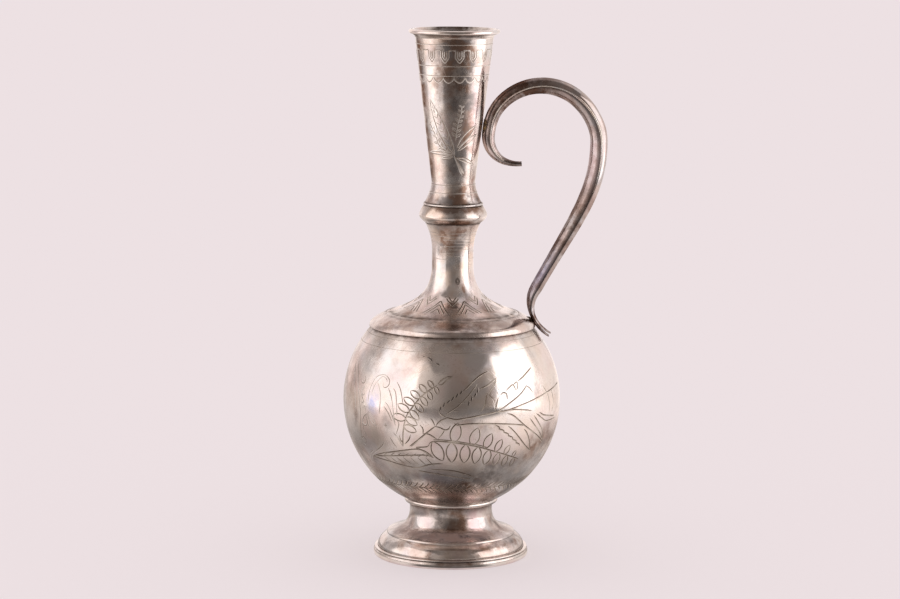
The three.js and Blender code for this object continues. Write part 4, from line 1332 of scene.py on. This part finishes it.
def dentStrokes(v):
    return [[(v["azimuth"] + v["halfAngle"] * size * math.sin(turn),
              v["level"] + v["halfHeight"] * size * math.cos(turn))
             for turn in np.linspace(0, 2 * math.pi, 24)] for size in v["sizes"]]


engrave("shoulderChevrons", shoulderPiece, onShoulder, chevronStrokes(chevrons), 0.85,
        repeats=chevrons["repeats"], taper=0.6)
engrave("turningMarks", shoulderPiece, onShoulder, turningStrokes(turning), 0.4, repeats=3, burr=0.04,
        metal=cutBright)
engrave("ovalDent", shoulderPiece, onShoulder, dentStrokes(dent), 0.75, burr=0.09, taper=0.0, metal=cutDark)

# Neck borders and spray
neckRings = rings((246.5, 243.4, 233.5, 229.0, 177.5, 173.8))
pendant = {"repeats": 16, "top": 240.9, "tip": 235.0, "shoulder": 237.4, "share": 0.52, "phase": 8.2,
           "inner": 0.45, "inset": 0.3, "innerTip": 1.6, "dartTop": 0.6, "dartTip": 2.6}
scallop = {"repeats": 20, "top": 228.4, "dip": 2.5, "fullness": 0.8}


def pendantBorder(v):
    step = 360 / v["repeats"]
    half = step * v["share"] / 2
    slim = half * v["inner"]
    flat = [(-step / 2, v["top"]), (-half, v["top"]), (-half, v["shoulder"]), (0, v["tip"]),
            (half, v["shoulder"]), (half, v["top"]), (step / 2, v["top"])]
    high = v["top"] - v["inset"]
    low = v["shoulder"] + v["inset"]
    inner = [(-slim, high), (-slim, low), (0, v["tip"] + v["innerTip"]), (slim, low), (slim, high)]
    dart = [(0, v["top"] - v["dartTop"]), (0, v["tip"] + v["dartTip"])]
    return [[(azimuth + v["phase"], level) for azimuth, level in stroke] for stroke in (flat, inner, dart)]


def scallopBorder(v):
    step = 360 / v["repeats"]
    return [[(step * share, v["top"] - v["dip"] * abs(math.sin(math.pi * share)) ** v["fullness"])
             for share in np.linspace(0, 1, 13)]]


def neckSpray():
    # a long leaf, two ferns and smaller leaves from one point, with their stalks below
    strokes = leaf((0.4, 24), (-12.5, 50), 0.10) + [[(0.4, 24), (-11, 47)]]
    for i in range(6):
        x, z = -1.2 - 1.7 * i, 28 + 3.3 * i
        strokes.append([(x, z), (x + 0.4, z + 3.0)])
        strokes.append([(x, z), (x - 2.4, z + 1.2)])
    strokes += frond([(-0.5, 24.5), (-6.5, 28), (-9, 33), (-12.5, 38.5)],
                     [(6, 0.1, 0.96, 45, 3.2, 1.8), (6, 0.1, 0.96, -45, 3.2, 1.8)], 0.18)
    strokes += frond([(0.8, 31), (1.6, 38), (3.0, 43), (3.6, 47)],
                     [(7, 0.1, 0.96, 50, 2.8, 1.6), (7, 0.1, 0.96, -50, 2.8, 1.6)], 0.22)
    strokes += leaf((1.5, 27.5), (11.5, 37.5), 0.13, 0.3) + leaf((1.8, 26), (12.5, 33.5), 0.10, 0.5)
    strokes += leaf((0.6, 24), (-13.5, 24.8), 0.07, -0.6) + leaf((0, 23), (-6, 22), 0.12, -0.4)
    strokes += leaf((1.4, 22.6), (10.6, 19), 0.10, 0.8)
    for tip in ((3.6, 15), (4.4, 14.2), (5.2, 15)):
        strokes.append(bezier([(0.4, 24), (1.6, 21), tip], 8))
    return strokes


engrave("neckRings", beakerPiece, onBeaker, neckRings, 1.15, burr=0.10, taper=0.0, closed=True,
        metal=cutBright)
engrave("neckPendants", beakerPiece, onBeaker, pendantBorder(pendant), 0.85, repeats=pendant["repeats"],
        taper=0.5, metal=cutBright)
engrave("neckScallops", beakerPiece, onBeaker, scallopBorder(scallop), 0.85, repeats=scallop["repeats"],
        taper=0.4, metal=cutBright)
engrave("neckSpray", beakerPiece, onBeakerFlat, neckSpray(), 0.95, repeats=2, taper=1.5, metal=cutBright)
print("engraving done")

# Studio: pale floor, even pale surroundings, two softboxes, and glowing cards that only the metal sees, as
# painted reflections
studio = {"pale": (0.905, 0.80, 0.82), "mirrored": (0.66, 0.60, 0.585), "floorTone": (0.935, 0.94, 0.938),
          "floorGlow": 0.55, "floorSize": 24.0}


def paleWorld(v):
    # bright for the camera and the floor, calmer where the metal mirrors it
    world = bpy.data.worlds.new("paleStudio")
    world.use_nodes = True
    tree = world.node_tree
    glow = tree.nodes["Background"]
    ray = addNode(tree, "ShaderNodeLightPath")
    tone = mixColours(tree, ray.outputs["Is Glossy Ray"], v["pale"], v["mirrored"])
    feed(tree, glow.inputs["Color"], tone)
    return world


bpy.context.scene.world = paleWorld(studio)


def floorMaterial(v):
    # part of its light is its own, so that the shadow stays as faint as in the photograph
    material, tree = newMaterial("palePaper")
    own = v["floorGlow"]
    values = {"Base Color": (*[tone * (1 - own) for tone in v["floorTone"]], 1),
              "Emission Color": (*[pale * tone for pale, tone in zip(v["pale"], v["floorTone"])], 1),
              "Emission Strength": own, "Roughness": 0.9, "Specular IOR Level": 0.0}
    for socket, value in values.items():
        tree.nodes["Principled BSDF"].inputs[socket].default_value = value
    return material


def cardMaterial(name, tone, strength=None):
    # strength, where it is given, works out the glow from the place on the card
    material, tree = newMaterial(name)
    tree.nodes.remove(tree.nodes["Principled BSDF"])
    glow = addNode(tree, "ShaderNodeEmission", color=(*tone, 1), strength=1.0)
    if strength:
        place = addNode(tree, "ShaderNodeTexCoord").outputs["Object"]
        axes = addNode(tree, "ShaderNodeSeparateXYZ", vector=place)
        feed(tree, glow.inputs["Strength"], strength(tree, *axes.outputs))
    feed(tree, tree.nodes["Material Output"].inputs["Surface"], glow.outputs[0])
    return material


def roomGlow(tree, x, y, z):
    # painted reflection of the dim room behind the camera, lighter upwards and towards both softboxes
    sides = ((-1.0, 0.05, 0.25, 0.0), (-1.6, -0.6, 0.38, 0.0), (0.3, 1.3, 0.0, 0.09), (1.4, 2.1, 0.0, 0.25))
    return total(tree, spread(tree, z, 0.2, 1.4, 0.170, 0.21), *[spread(tree, x, *side) for side in sides])


def floorGlow(tree, x, y, z):
    # painted reflection of the table as the metal sees it: painted shadow close to the foot, dim behind it
    # on both sides, dark far in front
    aside = less(tree, x, float(axisX) * mm)
    away = mathNode(tree, "POWER", total(tree, product(tree, aside, aside), product(tree, y, y)), 0.5)
    side = spread(tree, mathNode(tree, "DIVIDE", mathNode(tree, "ABSOLUTE", aside), away), 0.4, 0.6)
    glow = total(tree, spread(tree, away, 0.045, 0.12, 0.35, 0.74), spread(tree, away, 0.12, 0.2, 0.0, 0.09),
                 spread(tree, away, 0.2, 0.4, 0.0, 0.13))
    close = product(tree, spread(tree, away, 0.05, 0.09, 0.5, 0.0), less(tree, 1.0, side))
    rightBehind = product(tree, spread(tree, away, 0.16, 0.26, 0.4, 0.0), spread(tree, x, 0.10, 0.14),
                          spread(tree, y, 0.0, 0.07))
    leftBehind = product(tree, spread(tree, x, -0.14, -0.08, 0.55, 0.0), spread(tree, y, -0.09, -0.03),
                         spread(tree, away, 0.15, 0.27, 1.0, 0.28))
    front = product(tree, spread(tree, mathNode(tree, "ABSOLUTE", x), 0.04, 0.11, 0.24, 0.0),
                    spread(tree, y, -0.16, -0.08, 1.0, 0.0))
    for dark in (close, rightBehind, leftBehind, front):
        glow = product(tree, glow, less(tree, 1.0, dark))
    glow = product(tree, glow, spread(tree, x, 0.05, 0.16, 1.0, 1.35))
    near = product(tree, spread(tree, away, 0.0425, 0.047, 0.5, 0.0), side)
    # left of the middle the light reaches further to the front, but not under the camera
    within = spread(tree, y, -0.60, -0.45)
    leftFront = product(tree, spread(tree, x, -0.12, -0.05, 0.25, 0.0), within,
                        spread(tree, y, -0.10, -0.04, 1.0, 0.0))
    glow = product(tree, total(tree, near, glow), total(tree, 1.0, leftFront))
    lit = product(tree, spread(tree, x, -0.35, -0.10, 0.45, 0.0), within)
    far = product(tree, spread(tree, y, -0.39, -0.24, 1.0, 0.0), less(tree, 1.0, lit))
    return total(tree, product(tree, glow, less(tree, 1.0, far)), product(tree, far, 0.19))


def flatSheet(left, right, front, back, level):
    return [(left, front, level), (right, front, level), (right, back, level), (left, back, level)]


def uprightSheet(first, last, low, high):
    return [(*first, low), (*last, low), (*last, high), (*first, high)]


def slopedSheet(outer, inner, front, back):
    # outer and inner edge have their own height
    return [(outer[0], front, outer[1]), (outer[0], back, outer[1]), (inner[0], back, inner[1]),
            (inner[0], front, inner[1])]


def stageSheet(name, corners, material, onlyMetal=False):
    sheet = addPiece(name, plainMesh(name, corners, [], [tuple(range(len(corners)))]))
    sheet.data.materials.append(material)
    if onlyMetal:
        sheet.visible_camera = False
        sheet.visible_diffuse = False
        sheet.visible_shadow = False
        sheet.visible_transmission = False


reach = studio["floorSize"]
stageSheet("floor", flatSheet(-reach, reach, -reach, reach, 0), floorMaterial(studio))
# glowing sheets, not lamps: painted reflections of the table with its painted shadow round the foot, of the
# dim room and ceiling, and of bright walls and bounce
cards = {
    "mirroredFloor": {"tone": (1.0, 0.92, 0.885), "strength": floorGlow,
                      "corners": flatSheet(-1.4, 1.4, -3, 1.4, 0.001)},
    "frontRoom": {"tone": (1.0, 0.88, 0.81), "strength": roomGlow,
                  "corners": uprightSheet((-2.4, -2.0), (2.4, -2.0), 0, 2.2)},
    "ceiling": {"tone": (0.235, 0.207, 0.192), "corners": flatSheet(-0.8, 1.2, -2.0, -0.25, 1.5)},
    "leftAbove": {"tone": (0.92, 0.84, 0.81),
                  "corners": slopedSheet((-0.85, 0.78), (-0.32, 1.0), -0.15, 0.5)},
    "rightAbove": {"tone": (0.95, 0.87, 0.84),
                   "corners": slopedSheet((0.85, 0.78), (0.32, 1.0), 0.0, 0.5)},
    "rightBounce": {"tone": (1.05, 0.98, 0.95),
                    "corners": uprightSheet((0.86, 0.28), (0.40, 0.95), 0.0, 0.85)},
    "backWall": {"tone": (1.15, 1.06, 1.04),
                 "corners": uprightSheet((-1.1, 1.1), (0.38, 1.1), 0.0, 1.3)},
}
for cardName, v in cards.items():
    stageSheet(cardName, v["corners"], cardMaterial(cardName, v["tone"], v.get("strength")), onlyMetal=True)

softboxes = {
    "leftSoftbox": {"azimuth": -71.5, "lean": 0, "distance": 0.55, "level": 0.35, "width": 0.69,
                    "height": 0.74, "glow": 0.84, "colour": (1.0, 0.965, 0.955)},
    "rightSoftbox": {"azimuth": 78, "lean": 10, "distance": 0.55, "level": 0.32, "width": 0.62,
                     "height": 0.66, "glow": 1.35, "colour": (1.0, 0.975, 0.965)},
}
for lampName, v in softboxes.items():
    lamp = bpy.data.lights.new(lampName, "AREA")
    lamp.shape = "RECTANGLE"
    lamp.size = v["width"]
    lamp.size_y = v["height"]
    lamp.color = v["colour"]
    lamp.energy = v["glow"] * math.pi * v["width"] * v["height"]
    box = addPiece(lampName, lamp)
    angle = math.radians(v["azimuth"])
    box.location = (v["distance"] * math.sin(angle), -v["distance"] * math.cos(angle), v["level"])
    box.rotation_euler = (Matrix.Rotation(angle, 3, "Z") @ Matrix.Rotation(math.radians(v["lean"]), 3, "Y")
                          @ Matrix.Rotation(math.radians(90), 3, "X")).to_euler()
    box.visible_camera = False
    box.visible_diffuse = False

# Camera: long lens a little above the mouth, tipped as in the photograph
camera = {"lens": 120.0, "sensor": 36.0, "clipEnd": 100, "pitch": 8.298, "roll": 0.42, "distance": 1.4035,
          "height": 0.327, "aside": 1.15}
lens = bpy.data.cameras.new("camera")
lens.lens = camera["lens"]
lens.sensor_width = camera["sensor"]
lens.clip_end = camera["clipEnd"]
viewer = addPiece("camera", lens)
stand = ((axisX - camera["aside"]) * mm, -camera["distance"], camera["height"])
viewer.matrix_world = (Matrix.Translation(stand)
                       @ Matrix.Rotation(math.radians(90 - camera["pitch"]), 4, "X")
                       @ Matrix.Rotation(math.radians(camera["roll"]), 4, "Z"))
bpy.context.scene.camera = viewer
bpy.context.scene.view_settings.view_transform = "Standard"
print("studio done")
